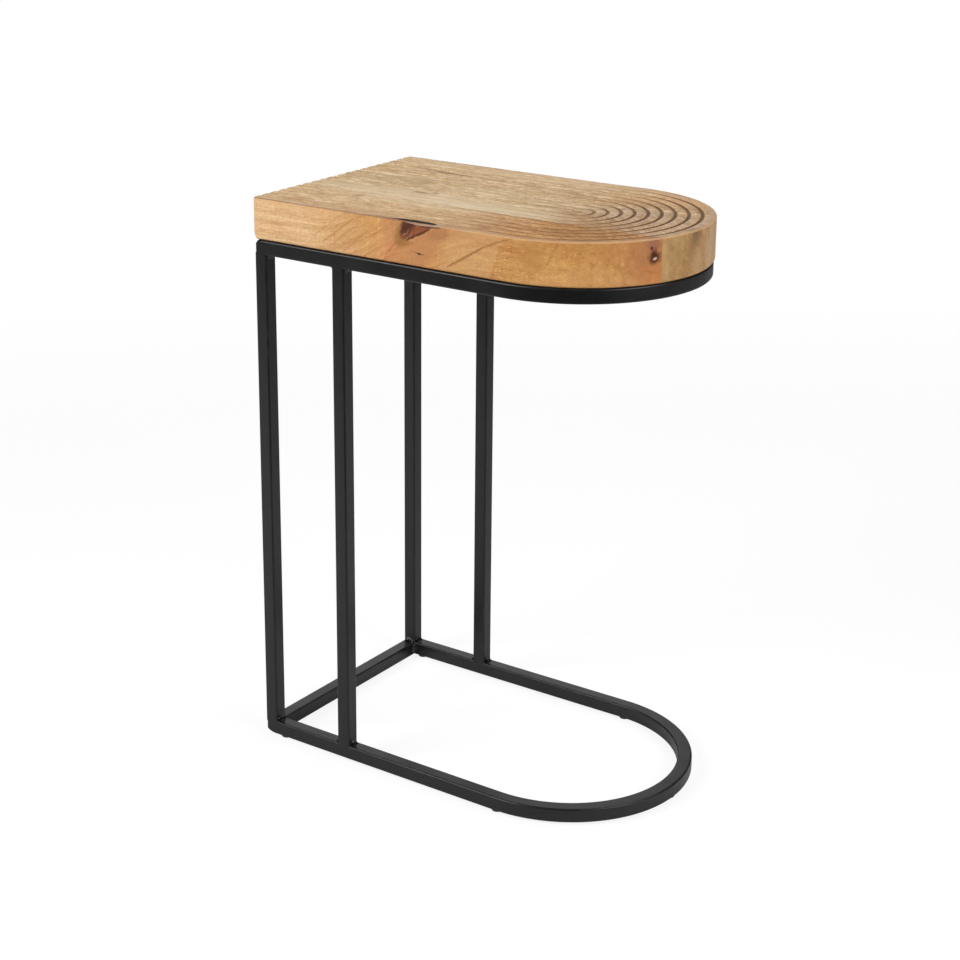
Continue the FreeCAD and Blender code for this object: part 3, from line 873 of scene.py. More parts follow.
frontMarks = [
    # rosy wood under the big knot, paler wood past a slanting border
    patch("side", [(-50, -2), (-6, -2), (4, 12), (24, 37), (27, 49), (-60, 49)], (192, 130, 85), 0.55,
          soft=4, ragged=9),
    patch("side", [(-3, -2), (74, -2), (92, 49), (29, 49), (25, 37), (5, 12)], (214, 168, 116), 0.45,
          soft=2, ragged=5),
    blob("side", (14, 38), (16, 7), (172, 112, 70), 0.65, turn=8, soft=0.6),
    blob("side", (34, 44), (18, 5), (184, 128, 82), 0.45, soft=0.7),
    blob("side", (-57, 16), (14, 12), (212, 144, 98), 0.4, soft=0.7),
    blob("side", (-2, 18), (22, 16), (184, 126, 80), 0.35, soft=0.8),
    # the big knot: olive border, red brown heart and a split along its lower side
    blob("side", (-33.5, 33), (7, 12), (146, 102, 48), 0.8, turn=-16, soft=0.7),
    blob("side", (-31, 23.4), (9, 3.6), (158, 108, 50), 0.75, turn=10, soft=0.6),
    patch("side", [(-35, 34), (-32.5, 26.5), (-20, 30.4), (4, 42.4), (5, 52), (-29, 52)], (126, 68, 40),
          0.9, soft=1.8, ragged=4.6, sunken=True),
    patch("side", [(-34, 37), (-29, 29.5), (-20, 36), (-14, 49), (-28, 50)], (72, 38, 26), 0.85, soft=3,
          ragged=6),
    stroke("side", (-24, 38), (-2, 47), 1.3, (172, 100, 68), 0.35, wobble=3, grainy=0.08),
    blob("side", (-10, 38.6), (10, 1.8), (172, 100, 66), 0.4, turn=27, soft=0.8, grainy=0.1),
    blob("side", (-25, 33.4), (6, 3.4), (192, 134, 114), 0.7, turn=27, soft=0.6, ragged=0.8, grainy=0.04),
    blob("side", (-28, 29.5), (5.5, 2.6), (116, 66, 38), 0.6, turn=10, soft=0.7, grainy=0.1),
    stroke("side", (-27, 26.6), (3, 41.8), 1.2, (84, 42, 24), 0.9, wobble=2.4, sunken=True),
    stroke("side", (-38, 24.5), (-53, 8), 0.8, (168, 104, 58), 0.6, wobble=3.4),
    stroke("side", (-17.5, 15.8), (-3.5, 14.1), 0.8, (140, 84, 46), 0.7, wobble=0.8),
    blob("side", (-10.4, 14.7), (2.4, 1.0), (64, 32, 18), 0.95, turn=-6, sunken=True),
    # pale sapwood between the knot and the bark, with a dark line under it
    patch("side", [(-34, 46.8), (-22, 45), (0, 44), (16, 45.6), (14, 49), (-34, 49)], (190, 170, 156), 0.8,
          soft=0.7, ragged=1.6),
    stroke("side", (-8, 43.2), (16, 44.8), 0.9, (84, 46, 30), 0.8, wobble=0.8),
    # the line that climbs to the bend
    stroke("side", (24, 6), (66, 31), 1.3, (152, 98, 48), 0.75, wobble=2.2),
    stroke("side", (58, 27), (106, 47), 1.2, (158, 104, 58), 0.65, wobble=2.4, bow=-6),
    blob("side", (66, 43), (34, 3), (200, 142, 98), 0.25, turn=12, soft=0.8),
    # slanting lines between the end and the knot
    stroke("side", (-136, 10), (-94, 40), 0.8, (176, 118, 58), 0.65),
    stroke("side", (-124, 8), (-84, 40), 0.7, (182, 124, 66), 0.6),
    stroke("side", (-150, 14), (-112, 40), 0.9, (186, 132, 76), 0.4),
    stroke("side", (-110, 2), (-66, 38), 0.8, (184, 122, 68), 0.45),
    stroke("side", (-98, 2), (-58, 34), 0.7, (178, 116, 62), 0.4),
    blob("side", (-92, 22), (30, 22), (202, 148, 92), 0.35, turn=40, soft=0.8),
    # warm mottled wood round the bend, deeper towards the top
    blob("side", (170, 44), (80, 12), (184, 128, 66), 0.4, soft=0.9),
    blob("side", (180, 6), (70, 12), (218, 164, 104), 0.45, soft=0.9),
    blob("side", (122, 30), (16, 18), (184, 128, 66), 0.65, soft=0.7, ragged=1.4),
    blob("side", (146, 26), (12, 9), (214, 160, 92), 0.35, soft=0.9, ragged=1.6),
    blob("side", (170, 20), (14, 8), (214, 160, 96), 0.35, soft=0.9, ragged=1.6),
    blob("side", (205, 34), (16, 8), (200, 138, 84), 0.35, soft=0.9, ragged=1.4),
    stroke("side", (150, 47), (138, 22), 1.6, (166, 112, 52), 0.4, wobble=4),
    stroke("side", (206, 44), (214, 8), 1.4, (172, 116, 60), 0.3, wobble=5),
    # the small eye knot by the joint, with orange wood under it
    blob("side", (241, 28), (22, 26), (176, 112, 68), 0.7, soft=0.6),
    blob("side", (253, 24), (2.6, 30), (200, 124, 66), 0.4, soft=0.8, ragged=1.2),
    blob("side", (246, 12), (13, 8), (204, 126, 62), 0.5, soft=0.8, ragged=2.2),
    stroke("side", (238, 15), (256, 12), 1.2, (150, 84, 38), 0.3, wobble=9),
    blob("side", (247, 42), (8, 8), (150, 94, 72), 0.7, soft=0.6, ragged=0.8),
    blob("side", (244.2, 37.6), (1.9, 2.0), (84, 34, 24), 0.9),
    blob("side", (248.6, 37.2), (1.2, 1.4), (118, 66, 48), 0.6, turn=20),
    blob("side", (247.8, 28.2), (6.6, 6.2), (66, 30, 22), 0.94, soft=0.5, ragged=0.9, sunken=True),
    blob("side", (248.2, 26.8), (2.3, 1.3), (214, 178, 158), 0.92, turn=16, soft=0.6, ragged=1.1),
    # on the top: the bark pocket, dark bark with painted shade for its hollow, a pale edge, a cream patch
    # along the joint and browner wood at the side
    blob("top", (-60, -133), (130, 11), (186, 142, 98), 0.45, soft=0.8),
    patch("top", [(-50, -140), (-30, -141.6), (-10, -142.8), (5, -142.8), (10, -138.5), (2, -133.4),
          (-19, -131.6), (-35, -133.4)], (24, 14, 11), 0.98, soft=0.8, ragged=2.2, sunken=True),
    stroke("top", (-84, -139.4), (-44, -139.2), 1.6, (118, 76, 50), 0.6, wobble=1.0),
    blob("top", (-80, -66), (80, 12), (224, 200, 160), 0.5, soft=0.6, ragged=0.8),
    stroke("top", (-158, -76), (-136, -65), 2.4, (146, 104, 62), 0.6, wobble=3),
    stroke("top", (-60, -96), (70, -88), 1.6, (176, 112, 64), 0.4, wobble=5),
    stroke("top", (0, -116), (120, -104), 1.6, (160, 100, 58), 0.45, wobble=5),
    blob("top", (150, -84), (40, 42), (143, 97, 45), 0.6, soft=0.8, ragged=0.8),
]

middleMarks = [
    blob("top", (-80, -34), (165, 24), (222, 197, 160), 0.7, soft=0.6, ragged=0.8),
    blob("top", (14, -44), (76, 12), (226, 208, 176), 0.6, soft=0.6, ragged=1.0),
    blob("top", (92, -46), (30, 9), (226, 200, 164), 0.5, soft=0.7, ragged=1.1),
    stroke("top", (-210, -52.5), (60, -53.5), 2.0, (240, 218, 188), 0.45, wobble=4),
    stroke("top", (-112, -17.5), (-84, -17.5), 2.8, (112, 78, 46), 0.85, wobble=3, sunken=True),
    blob("top", (-82, -12), (4, 3), (132, 98, 58), 0.6, soft=0.5),
    stroke("top", (-232, 14), (-174, 14), 1.8, (132, 92, 56), 0.6, wobble=3),
    blob("top", (-30, -8), (2.4, 1.6), (110, 78, 50), 0.6),
    blob("top", (142, -42), (46, 20), (158, 113, 58), 0.6, soft=0.8, ragged=0.9),
    blob("top", (100, -14), (22, 12), (152, 107, 54), 0.5, soft=0.8, ragged=0.9),
    # round the end: a pale stripe by the joint, an olive patch, a dark figure and greyer wood past it
    blob("tip", (-53, 26), (5, 30), (200, 160, 104), 0.55, soft=0.6, ragged=0.6),
    blob("tip", (-32, 43), (13, 6), (190, 160, 98), 0.4, soft=0.7, ragged=0.9),
    blob("tip", (-33, 22), (11, 22), (172, 134, 82), 0.45, soft=0.8, ragged=0.8),
    blob("tip", (-8, 40), (9, 10), (112, 90, 66), 0.7, turn=-30, soft=0.7, ragged=1.2),
    blob("tip", (-13, 26), (7, 14), (142, 104, 66), 0.5, soft=0.8, ragged=1.3),
    blob("tip", (36, 24), (20, 34), (186, 156, 126), 0.7, soft=0.8),
    blob("tip", (-4, 14), (9, 14), (190, 156, 116), 0.5, soft=0.8),
]

backMarks = [
    blob("tip", (62, 24), (24, 34), (188, 158, 128), 0.85, soft=0.6),
    blob("top", (-60, 122), (170, 14), (224, 196, 156), 0.5, soft=0.8),
    stroke("top", (-196, 93), (-60, 83), 1.3, (126, 84, 46), 0.75, wobble=2.4),
    stroke("top", (-20, 78), (70, 74), 1.2, (138, 94, 54), 0.55, wobble=3),
    blob("top", (150, 98), (40, 20), (224, 168, 116), 0.4, soft=0.8),
    blob("side", (-60, 20), (46, 20), (202, 140, 92), 0.4, soft=0.8),
    blob("side", (-58, 22), (9, 5), (104, 56, 36), 0.85, turn=15, soft=0.3, ragged=0.9, sunken=True),
    stroke("side", (-46, 24), (20, 34), 1.1, (156, 100, 56), 0.5, wobble=4),
]

boardLooks = {
    "top_board_front": {
        **woodCommon,
        "seed": 31.0,
        "pith": (-92, -26),
        "pale": [(200, 153, 102), (218, 175, 126), (226, 186, 138), (239, 205, 160)],
        "warm": [(175, 115, 58), (200, 143, 80), (211, 156, 91), (230, 180, 117)],
        "warmFrom": (-170, -40),
        "topLeft": [(191, 152, 108), (209, 174, 130), (219, 186, 143), (237, 210, 171)],
        "topRight": [(164, 110, 60), (193, 138, 80), (206, 151, 92), (226, 176, 116)],
        "topTurn": (-40, 110),
        "poolShadeShare": 0.9,
        "lipHighlightColour": paint(236, 200, 152),
        "ringAcross": 0.10,
        "ringUp": 0.07,
        "dive": {"from": -150, "to": 60, "rise": 90},
        "knots": [{"at": (-18, 0, 42), "size": (17, 12, 12)}, {"at": (247, 0, 27), "size": (6, 8, 7)}],
        "marks": frontMarks,
    },
    "top_board_middle": {
        **woodCommon,
        "seed": 77.0,
        "pith": (14, -64),
        "pale": [(183, 143, 97), (211, 173, 124), (224, 187, 139), (241, 210, 165)],
        "warm": [(146, 104, 64), (169, 131, 86), (182, 145, 99), (201, 167, 122)],
        "warmFrom": (40, 220),
        "topLeft": [(186, 155, 113), (206, 176, 133), (216, 187, 144), (234, 209, 171)],
        "topRight": [(168, 130, 94), (192, 157, 120), (205, 170, 134), (223, 192, 156)],
        "topTurn": (30, 130),
        "ringAcross": 0.09,
        "ringUp": 0.16,
        "streakShare": 0.9,
        "mottleShare": 0.7,
        "dive": {"from": -150, "to": 60, "rise": 0},
        "marks": middleMarks,
    },
    "top_board_back": {
        **woodCommon,
        "seed": 12.0,
        "pith": (104, -34),
        "pale": [(190, 137, 84), (215, 166, 110), (227, 180, 124), (243, 203, 149)],
        "warm": [(175, 119, 67), (205, 152, 95), (216, 165, 108), (235, 189, 132)],
        "warmFrom": (-60, 120),
        "topLeft": [(183, 148, 105), (205, 171, 127), (216, 183, 139), (235, 207, 168)],
        "topRight": [(172, 130, 88), (196, 158, 114), (208, 170, 126), (228, 193, 150)],
        "topTurn": (20, 140),
        "ringAcross": 0.12,
        "ringUp": 0.08,
        "dive": {"from": -120, "to": 120, "rise": 40},
        "knots": [{"at": (-58, 0, 22), "size": (10, 8, 6)}],
        "marks": backMarks,
    },
}


# coated steel, with scales per metre

coat = {
    "colour": paint(20, 20, 21),
    "cloudy": paint(30, 30, 31),
    "cloudyFrom": 0.3,
    "cloudyShare": 0.5,
    "cloudScale": 38.0,
    "thin": paint(58, 58, 58),         # where the coat runs thin over an arris
    "thinShare": 0.3,
    "thinScale": 60.0,
    "thinZone": (0.5, 0.75),
    "peelScale": 620.0,                # orange peel of the baked powder
    "powderScale": 2600.0,
    "roughness": 0.19,
    "roughShares": {"cloud": 0.16, "powder": 0.12, "arris": 0.04},
    "heightShares": {"peel": 0.8, "powder": 0.35},
    "relief": (0.00012, 0.35),
    "shine": 0.42,
}

thickCoat = {                          # the powder runs thick and glossy over a bead
    "colour": paint(9, 9, 10),
    "lumpColour": paint(26, 26, 26),
    "lumpScale": 700.0,
    "lumpZone": (0.5, 0.8),
    "lumpShare": 0.4,
    "roughness": 0.125,
    "roughShares": {"lumps": 0.15},
    "heightShares": {"lumps": 1.0, "powder": 0.2},
    "relief": (0.00025, 0.5),
    "shine": 0.5,
}

zinc = {
    "colours": [(150, 152, 156), (196, 196, 194)],
    "stops": (0.3, 0.7),
    "spangleScale": 900.0,
    "scratchScale": (4000, 350, 350),
    "roughness": 0.28,
    "roughShares": {"spangle": 0.2, "scratch": 0.08},
    "heightShares": {"spangle": 0.4, "scratch": 0.6},
    "relief": (0.00005, 0.3),
    "shine": 0.5,
}

plastic = {
    "colour": paint(34, 34, 35),
    "scuffColour": paint(84, 82, 80),
    "scuffScale": (1500, 300, 300),
    "scuffZone": (0.55, 0.8),
    "scuffShare": 0.4,
    "pebbleScale": 1900.0,
    "roughness": 0.4,
    "roughShares": {"pebble": 0.2},
    "heightShares": {"pebble": 1.0},
    "relief": (0.00008, 0.4),
    "shine": 0.5,
}


def makeCoat():
    material, tree, shader = newMaterial("blackPowderCoat")
    place, arris = objectPlace(tree), attribute(tree, "arris")
    peel = noise(tree, place, coat["peelScale"], detail=1.0)
    powder = noise(tree, place, coat["powderScale"], roughness=0.7)
    cloud = noise(tree, place, coat["cloudScale"], detail=3.0)
    thin = arris * noise(tree, place, coat["thinScale"], detail=3.0).smooth(*coat["thinZone"])
    cloudy = (cloud - coat["cloudyFrom"]) * coat["cloudyShare"]
    colour = mixColour(tree, cloudy, coat["colour"], coat["cloudy"])
    colour = mixColour(tree, thin * coat["thinShare"], colour, coat["thin"])
    surface(tree, shader, coat, colour, {"cloud": cloud, "powder": powder, "peel": peel, "arris": arris})
    return material


def makeBeadCoat():
    material, tree, shader = newMaterial("beadCoat")
    place = objectPlace(tree)
    lumps = noise(tree, place, thickCoat["lumpScale"])
    powder = noise(tree, place, coat["powderScale"], roughness=0.7)
    lumpy = lumps.smooth(*thickCoat["lumpZone"]) * thickCoat["lumpShare"]
    colour = mixColour(tree, lumpy, thickCoat["colour"], thickCoat["lumpColour"])
    surface(tree, shader, thickCoat, colour, {"lumps": lumps, "powder": powder})
    return material


def makeZinc():
    material, tree, shader = newMaterial("zincPlate")
    place = objectPlace(tree)
    spangle = noise(tree, place, zinc["spangleScale"], detail=3.0)
    scratch = noise(tree, stretch(tree, place, zinc["scratchScale"]))
    colour = ramp(tree, spangle, zinc["colours"], zinc["stops"])
    surface(tree, shader, zinc, colour, {"spangle": spangle, "scratch": scratch})
    shader.inputs["Metallic"].default_value = 1.0
    return material


def makePlastic():
    material, tree, shader = newMaterial("glidePlastic")
    place = objectPlace(tree)
    pebble = noise(tree, place, plastic["pebbleScale"])
    scuff = noise(tree, stretch(tree, place, plastic["scuffScale"]), detail=3.0)
    scuffed = scuff.smooth(*plastic["scuffZone"]) * plastic["scuffShare"]
    colour = mixColour(tree, scuffed, plastic["colour"], plastic["scuffColour"])
    surface(tree, shader, plastic, colour, {"pebble": pebble})
    return material


makeSky()
makeFloor()
makeLamps()
woods = {name: makeWood(f"{name}_wood", look) for name, look in boardLooks.items()}
blackCoat = makeCoat()
beadCoat = makeBeadCoat()
zincPlate = makeZinc()
glidePlastic = makePlastic()
print("stage: studio and materials made")


# the grooved block, cut into its three boards

block = {
    "edgeBand": 14.5 * millimetre,     # side of the block to the middle of the outermost groove
    "pitch": 13.9 * millimetre,
    "width": 3.3 * millimetre,
    "depth": 2.5 * millimetre,
    "lip": 1.4 * millimetre,           # radius of the ridges' edges
    "crown": 0.8 * millimetre,         # rise of each ridge towards its middle, round the bend
    "straightCrown": 0.3,              # share of it that is left on the straight part
    "crownRun": 60 * millimetre,       # stretch before the bend over which the rest of it fades in
    "crownSteps": 6,
    "floorCorner": 0.5 * millimetre,
    "smallestCore": 0.5 * millimetre,
    "topEasing": 2.0 * millimetre,
    "bottomEasing": 4.0 * millimetre,
    "undersideInsets": (7.0 * millimetre, 11.0 * millimetre),  # two more rows of points underneath
    "cornerEasing": 6.0 * millimetre,
    "cornerBlend": (2.2, 1.6),         # easings from the side where it starts, and the stretch to all of it
    "endTopEasing": 4.0 * millimetre,
    "endBottomEasing": 8.0 * millimetre,
    "topCorner": (3.0 * millimetre, 4.0 * millimetre),     # ball-like drop and width at the end's corners
    "bottomCorner": (6.0 * millimetre, 5.5 * millimetre),
    "cornerReach": 1.41,
    "endZone": 8.5 * millimetre,       # stretch at the straight end with close stations
    "bendSteps": 132,
    "straightSteps": 16,
    "cornerSteps": 10,
    # weights for the rubbed lips and their painted highlight
    "lipRubAndHighlight": [0.6, 1, 0.3, 0, 0],  # from the ridge to the groove's wall
    # marks the block's top edge for its painted shade and highlight line
    "edgeShadeLine": [0, -0.7, -1, -1, -0.7, 0],  # below zero marks the block's own top edge
    "stationGuard": 0.0005,            # keeps a whole number whole when it is rounded down
}


def blockProfile():  # from the middle of the top, over the grooves and the side, to the middle underneath
    lip, corner, crown = block["lip"], block["floorCorner"], block["crown"]
    floorHeight = blockTop - block["depth"]
    shoulder = blockTop - crown
    points = [(0.0, shoulder)]
    lips = [0.0]

    def addRidge(last, betweenGrooves):  # up to the next groove, or to the block's own edge
        first = points[-1][0]
        for i in range(1, block["crownSteps"]):
            t = i / block["crownSteps"]
            swell = 1 - (2 * t - 1) ** 2 if betweenGrooves else 1 - (1 - t) ** 2
            points.append((first + (last - first) * t, shoulder + crown * swell))
            lips.append(0.0)

    lines = [blockRadius - block["edgeBand"]]
    while lines[-1] - block["pitch"] - block["width"] / 2 > block["smallestCore"]:
        lines.append(lines[-1] - block["pitch"])
    for line in reversed(lines):
        near, far = line - block["width"] / 2, line + block["width"] / 2
        if points[-1][0] > 0:
            addRidge(near - lip, True)
        groove = arcPoints((near - lip, shoulder - lip), lip, 90, 0, 4)
        groove += arcPoints((near + corner, floorHeight + corner), corner, 180, 270, 2)
        groove += arcPoints((far - corner, floorHeight + corner), corner, 270, 360, 2)
        groove += arcPoints((far + lip, shoulder - lip), lip, 180, 90, 4)
        unmarked = len(groove) - 2 * len(block["lipRubAndHighlight"])
        points += groove
        lips += block["lipRubAndHighlight"] + [0] * unmarked + block["lipRubAndHighlight"][::-1]
    easing, bottom = block["topEasing"], block["bottomEasing"]
    addRidge(blockRadius - easing, False)
    points += arcPoints((blockRadius - easing, blockTop - easing), easing, 90, 0, 5)
    lips += block["edgeShadeLine"]
    points += arcPoints((blockRadius - bottom, blockUnderside + bottom), bottom, 0, -90, 6)
    points += [(blockRadius - inset, blockUnderside) for inset in block["undersideInsets"]]
    points.append((0.0, blockUnderside))
    lips += [0.0] * (len(points) - len(lips))
    sunk = [min(1.0, max(0.0, (shoulder - z) / block["depth"]))
            if r < blockRadius - easing and z > blockUnderside + bottom else 0.0 for r, z in points]
    return lineMesh("blockProfile", points, numbers={"lip": lips, "sunkProfile": sunk})


def sampleProfile(tree, profile, point):  # radius, height and both marks of one point of the profile
    def sample(kind, field):
        return addNode(tree, "GeometryNodeSampleIndex",
                       {"Geometry": profile, "Value": field, "Index": point}, data_type=kind)

    def sampleMark(name):
        field = addNode(tree, "GeometryNodeInputNamedAttribute", {"Name": name}, data_type="FLOAT")
        return sample("FLOAT", field)

    radius, height, _ = split(tree, sample("FLOAT_VECTOR", addNode(tree, "GeometryNodeInputPosition")))
    return radius, height, sampleMark("lip"), sampleMark("sunkProfile")


def followOutline(given, station):  # along the front, round the bend and back along the rear
    straight, bend, cornerSteps = given["Straight Steps"], given["Bend Steps"], given["Corner Steps"]
    onBend = station.atLeast(straight).atMost(straight + bend)
    turn = (onBend - straight) / bend * math.pi - math.pi / 2
    along = (station - onBend).absolute()
    plain = straight - cornerSteps
    quarter = ((along - plain) / cornerSteps).clamped() * (math.pi / 2)
    zone = given["End Zone"]
    reach = (given["Straight Length"] - zone) * along.atMost(plain) / plain + zone * quarter.calc("SINE")
    return reach, turn


def easeBlock(given, reach, radius, height):  # fades the crown, and rounds the straight end and its corners
    easing = given["Corner Easing"]
    blendStart, blendRun = block["cornerBlend"]

    def endDrop(easingName):
        depth = given[easingName]
        past = (reach - given["Straight Length"] + depth).atLeast(0.0)
        return depth - (depth * depth - past * past).atLeast(0.0).root()

    outerShare = ((radius - given["Radius"] + easing * blendStart) / (easing * blendRun)).clamped()
    radius = radius - endDrop("Corner Easing") * outerShare
    swell = (height - given["Shoulder"]).atLeast(0.0)
    straightShare = (reach / given["Crown Run"]).clamped()
    height = height - swell * straightShare * (1 - given["Straight Crown"])

    inX = ((reach - given["Straight Length"]) / easing + 1).atLeast(0.0)
    inY = ((radius - given["Radius"]) / easing + 1).atLeast(0.0)
    fromCorner = (inX * inX + inY * inY).root().atMost(1.0)
    nearCorner = (inX.atMost(inY) * block["cornerReach"]).clamped()

    def cornerDrop(tallName, wideName):  # rounds the two outer corners like a ball
        tall, wide = given[tallName], given[wideName]
        past = ((fromCorner - 1) * easing / wide + 1).atLeast(0.0)
        return nearCorner * tall * (1 - (1 - past * past).atLeast(0.0).root())

    upper = endDrop("Top Easing") + cornerDrop("Top Corner Drop", "Top Corner Width")
    lower = endDrop("Bottom Easing") + cornerDrop("Bottom Corner Drop", "Bottom Corner Width")
    return radius, height.atMost(given["Top"] - upper).atLeast(given["Underside"] + lower)


def groovedBlockTree(settings):
    kinds = {name: "Int" if isinstance(setting, int) else "Float" for name, setting in settings.items()}
    tree, given = newTree("groovedBlock", kinds)
    profile = given["Geometry"]
    count = addNode(tree, "GeometryNodeAttributeDomainSize", {0: profile})
    stations = given["Straight Steps"] * 2 + given["Bend Steps"] + 1
    sheet = addNode(tree, "GeometryNodeMeshGrid", {"Vertices X": stations, "Vertices Y": count})
    index = addNode(tree, "GeometryNodeInputIndex")
    station = (index / count + block["stationGuard"]).calc("FLOOR")
    radius, height, lip, sunk = sampleProfile(tree, profile, index - station * count)
    reach, turn = followOutline(given, station)
    radius, height = easeBlock(given, reach, radius, height)
    place = combine(tree, given["Bend Centre"] - reach + radius * turn.calc("COSINE"),
                    radius * turn.calc("SINE"), height)
    shaped = addNode(tree, "GeometryNodeSetPosition", {"Geometry": sheet, "Position": place})
    shaped = storeNumber(tree, shaped, "lip", lip)
    shaped = storeNumber(tree, shaped, "sunk", sunk)
    merged = addNode(tree, "GeometryNodeMergeByDistance", {"Geometry": shaped, "Distance": weldTolerance})
    closeTree(tree, merged, woods["top_board_middle"])
    return tree


def makeBoards():
    settings = {
        "Bend Centre": blockBend,
        "Straight Length": blockBend - blockEnd - weldTolerance,  # rounding must not push it past its box
        "Radius": blockRadius, "Top": blockTop, "Underside": blockUnderside,
        "Corner Easing": block["cornerEasing"],
        "Top Easing": block["endTopEasing"], "Bottom Easing": block["endBottomEasing"],
        "End Zone": block["endZone"], "Shoulder": blockTop - block["crown"],
        "Straight Crown": block["straightCrown"], "Crown Run": block["crownRun"],
        "Top Corner Drop": block["topCorner"][0], "Top Corner Width": block["topCorner"][1],
        "Bottom Corner Drop": block["bottomCorner"][0], "Bottom Corner Width": block["bottomCorner"][1],
        "Bend Steps": block["bendSteps"], "Straight Steps": block["straightSteps"],
        "Corner Steps": block["cornerSteps"],
    }
    whole = runTree(blockProfile(), groovedBlockTree(settings), settings)
    front, back = Vector((0, -1, 0)), Vector((0, 1, 0))
    frontJoint, backJoint = Vector((0, frontBoardHigh.y, 0)), Vector((0, backBoardLow.y, 0))
    cuts = {
        "top_board_front": [(frontJoint, back)],
        "top_board_middle": [(frontJoint, front), (backJoint, back)],
        "top_board_back": [(backJoint, front)],
    }
    whole = trim(whole, [(Vector((blockEnd - 1, 0, 0)), Vector((-1, 0, 0)))])  # closes the straight end
    for node, planes in cuts.items():
        board = trim(whole.copy(), planes)
        board.materials.clear()
        board.materials.append(woods[node])
        finishPiece(f"{node}_grooved", board, node)


makeBoards()
print("stage: boards made")


# the frame of square tube

tube = {
    "corner": 2.0 * millimetre,
    "cornerSteps": 5,
    "arrisShare": 0.9,                 # share of the corner that counts as arris
    "bendSteps": 96,
    "sharpAngle": 50,
    "seat": 2.0 * millimetre,          # how far an upright's ground joint reaches over the rail's edge
    "cornerGrind": 3.6 * millimetre,   # rounding of the ring's two outer corners
    "endGrind": 5.0 * millimetre,      # and of their foot or head
    "grindAngles": (18, 36, 54, 72),   # degrees round the corner
    "grindLifts": (35, 60),            # degrees towards the foot or head
}


def tubeTree():
    tree, given = newTree("squareTube", {"Size": "Float", "Corner": "Float", "Corner Steps": "Int"})
    path = addNode(tree, "GeometryNodeMeshToCurve", {0: given["Geometry"]})
    path = addNode(tree, "GeometryNodeSetCurveNormal", {0: path}, mode="Z_UP")
    square = addNode(tree, "GeometryNodeCurvePrimitiveQuadrilateral",
                     {"Width": given["Size"], "Height": given["Size"]}, mode="RECTANGLE")
    rounded = addNode(tree, "GeometryNodeFilletCurve", mode="POLY", inputs={
        "Curve": square, "Radius": given["Corner"], "Count": given["Corner Steps"]})
    x, y, _ = split(tree, addNode(tree, "GeometryNodeInputPosition"))
    flat = given["Size"] / 2 - given["Corner"] * tube["arrisShare"]
    onArris = x.absolute().calc("GREATER_THAN", flat) * y.absolute().calc("GREATER_THAN", flat)
    rounded = storeNumber(tree, rounded, "arris", onArris)
    skin = addNode(tree, "GeometryNodeCurveToMesh",
                   {"Curve": path, "Profile Curve": rounded, "Fill Caps": True})
    closeTree(tree, skin, blackCoat)
    return tree


squareTube = tubeTree()


def makeTube(node, points, mitre=None, cuts=()):
    mesh = runTree(lineMesh(node, points), squareTube, {
        "Size": tubeSize, "Corner": tube["corner"], "Corner Steps": tube["cornerSteps"]})
    for vertex in mesh.vertices if mitre else ():
        vertex.co = mitre(vertex.co)
    mesh = trim(mesh, cuts)
    finishPiece(f"{node}_tube", mesh, node, tube["sharpAngle"])


def grindCuts(side, low, high):  # planes that round a ring's outer corner, and its foot or head
    cuts = []
    away = -1 if low.z < tubeSize else 1
    for lift in (0, *tube["grindLifts"]):
        reach = tube["endGrind"] if lift else tube["cornerGrind"]
        level = low.z + reach if away < 0 else high.z - reach
        centre = Vector((straightEnd + reach, side * (railHigh.y - reach), level))
        rise = math.radians(lift)
        for degrees in tube["grindAngles"]:
            angle = math.radians(degrees)
            flat = Vector((-math.cos(angle), side * math.sin(angle), 0))
            slanted = flat * math.cos(rise) + Vector((0, 0, away * math.sin(rise)))
            cuts.append((centre + slanted * reach, slanted))
    return cuts


def makeRing(level, low, high):
    middle = (low.z + high.z) / 2
    bend = arcPoints((bendCentre, 0), railLine, -90, 90, tube["bendSteps"])
    outline = [(straightEnd, -railLine), *bend, (straightEnd, railLine)]
    rail = [(x, y, middle) for x, y in outline]
    line = straightEnd + tubeSize / 2
    reach = railHigh.y

    def mitreRail(point):  # 45 degrees at both ends
        inside = max(point.x, straightEnd + reach - abs(point.y))
        return Vector((inside, point.y, point.z))

    def mitreBar(point):
        inside = reach - (point.x - straightEnd)
        return Vector((point.x, math.copysign(inside, point.y), point.z))

    grinds = [*grindCuts(-1, low, high), *grindCuts(1, low, high)]
    makeTube(f"{level}_rail", rail, mitreRail, grinds)
    makeTube(f"{level}_cross_bar", [(line, -reach, middle), (line, reach, middle)], mitreBar, grinds)


makeRing("base", railLow, railHigh)
makeRing("top", topRailLow, topRailHigh)
uprights = [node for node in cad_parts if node.startswith("upright_")]
for node in sorted(uprights):
    low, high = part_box(node)
    axis = (low + high) / 2
    makeTube(node, [(axis.x, axis.y, low.z - tube["seat"]), (axis.x, axis.y, high.z + tube["seat"])])
print("stage: frame made")


# weld beads

bead = {
    "leg": 5.0 * millimetre,
    "tabLeg": 2.5 * millimetre,
    "hollow": 0.40,                 # 0.5 is a flat face, less is hollow
    "faceSteps": 8,
    "ripple": 1.9 * millimetre,
    "rippleDepth": 0.13,
    "unevenness": 0.22,
    "lumpScale": 0.7,
    "endRun": 0.35,                 # in legs, the stretch over which an end is rounded
    "endSize": 0.12,
    "steps": 40,
    "sharpAngle": 75,
    "seed": 5,
    "seedStep": 3.7,
    "baseNumbers": 10,              # numbers of the first bead at the base ring and at the tabs
    "tabNumbers": 30,
}


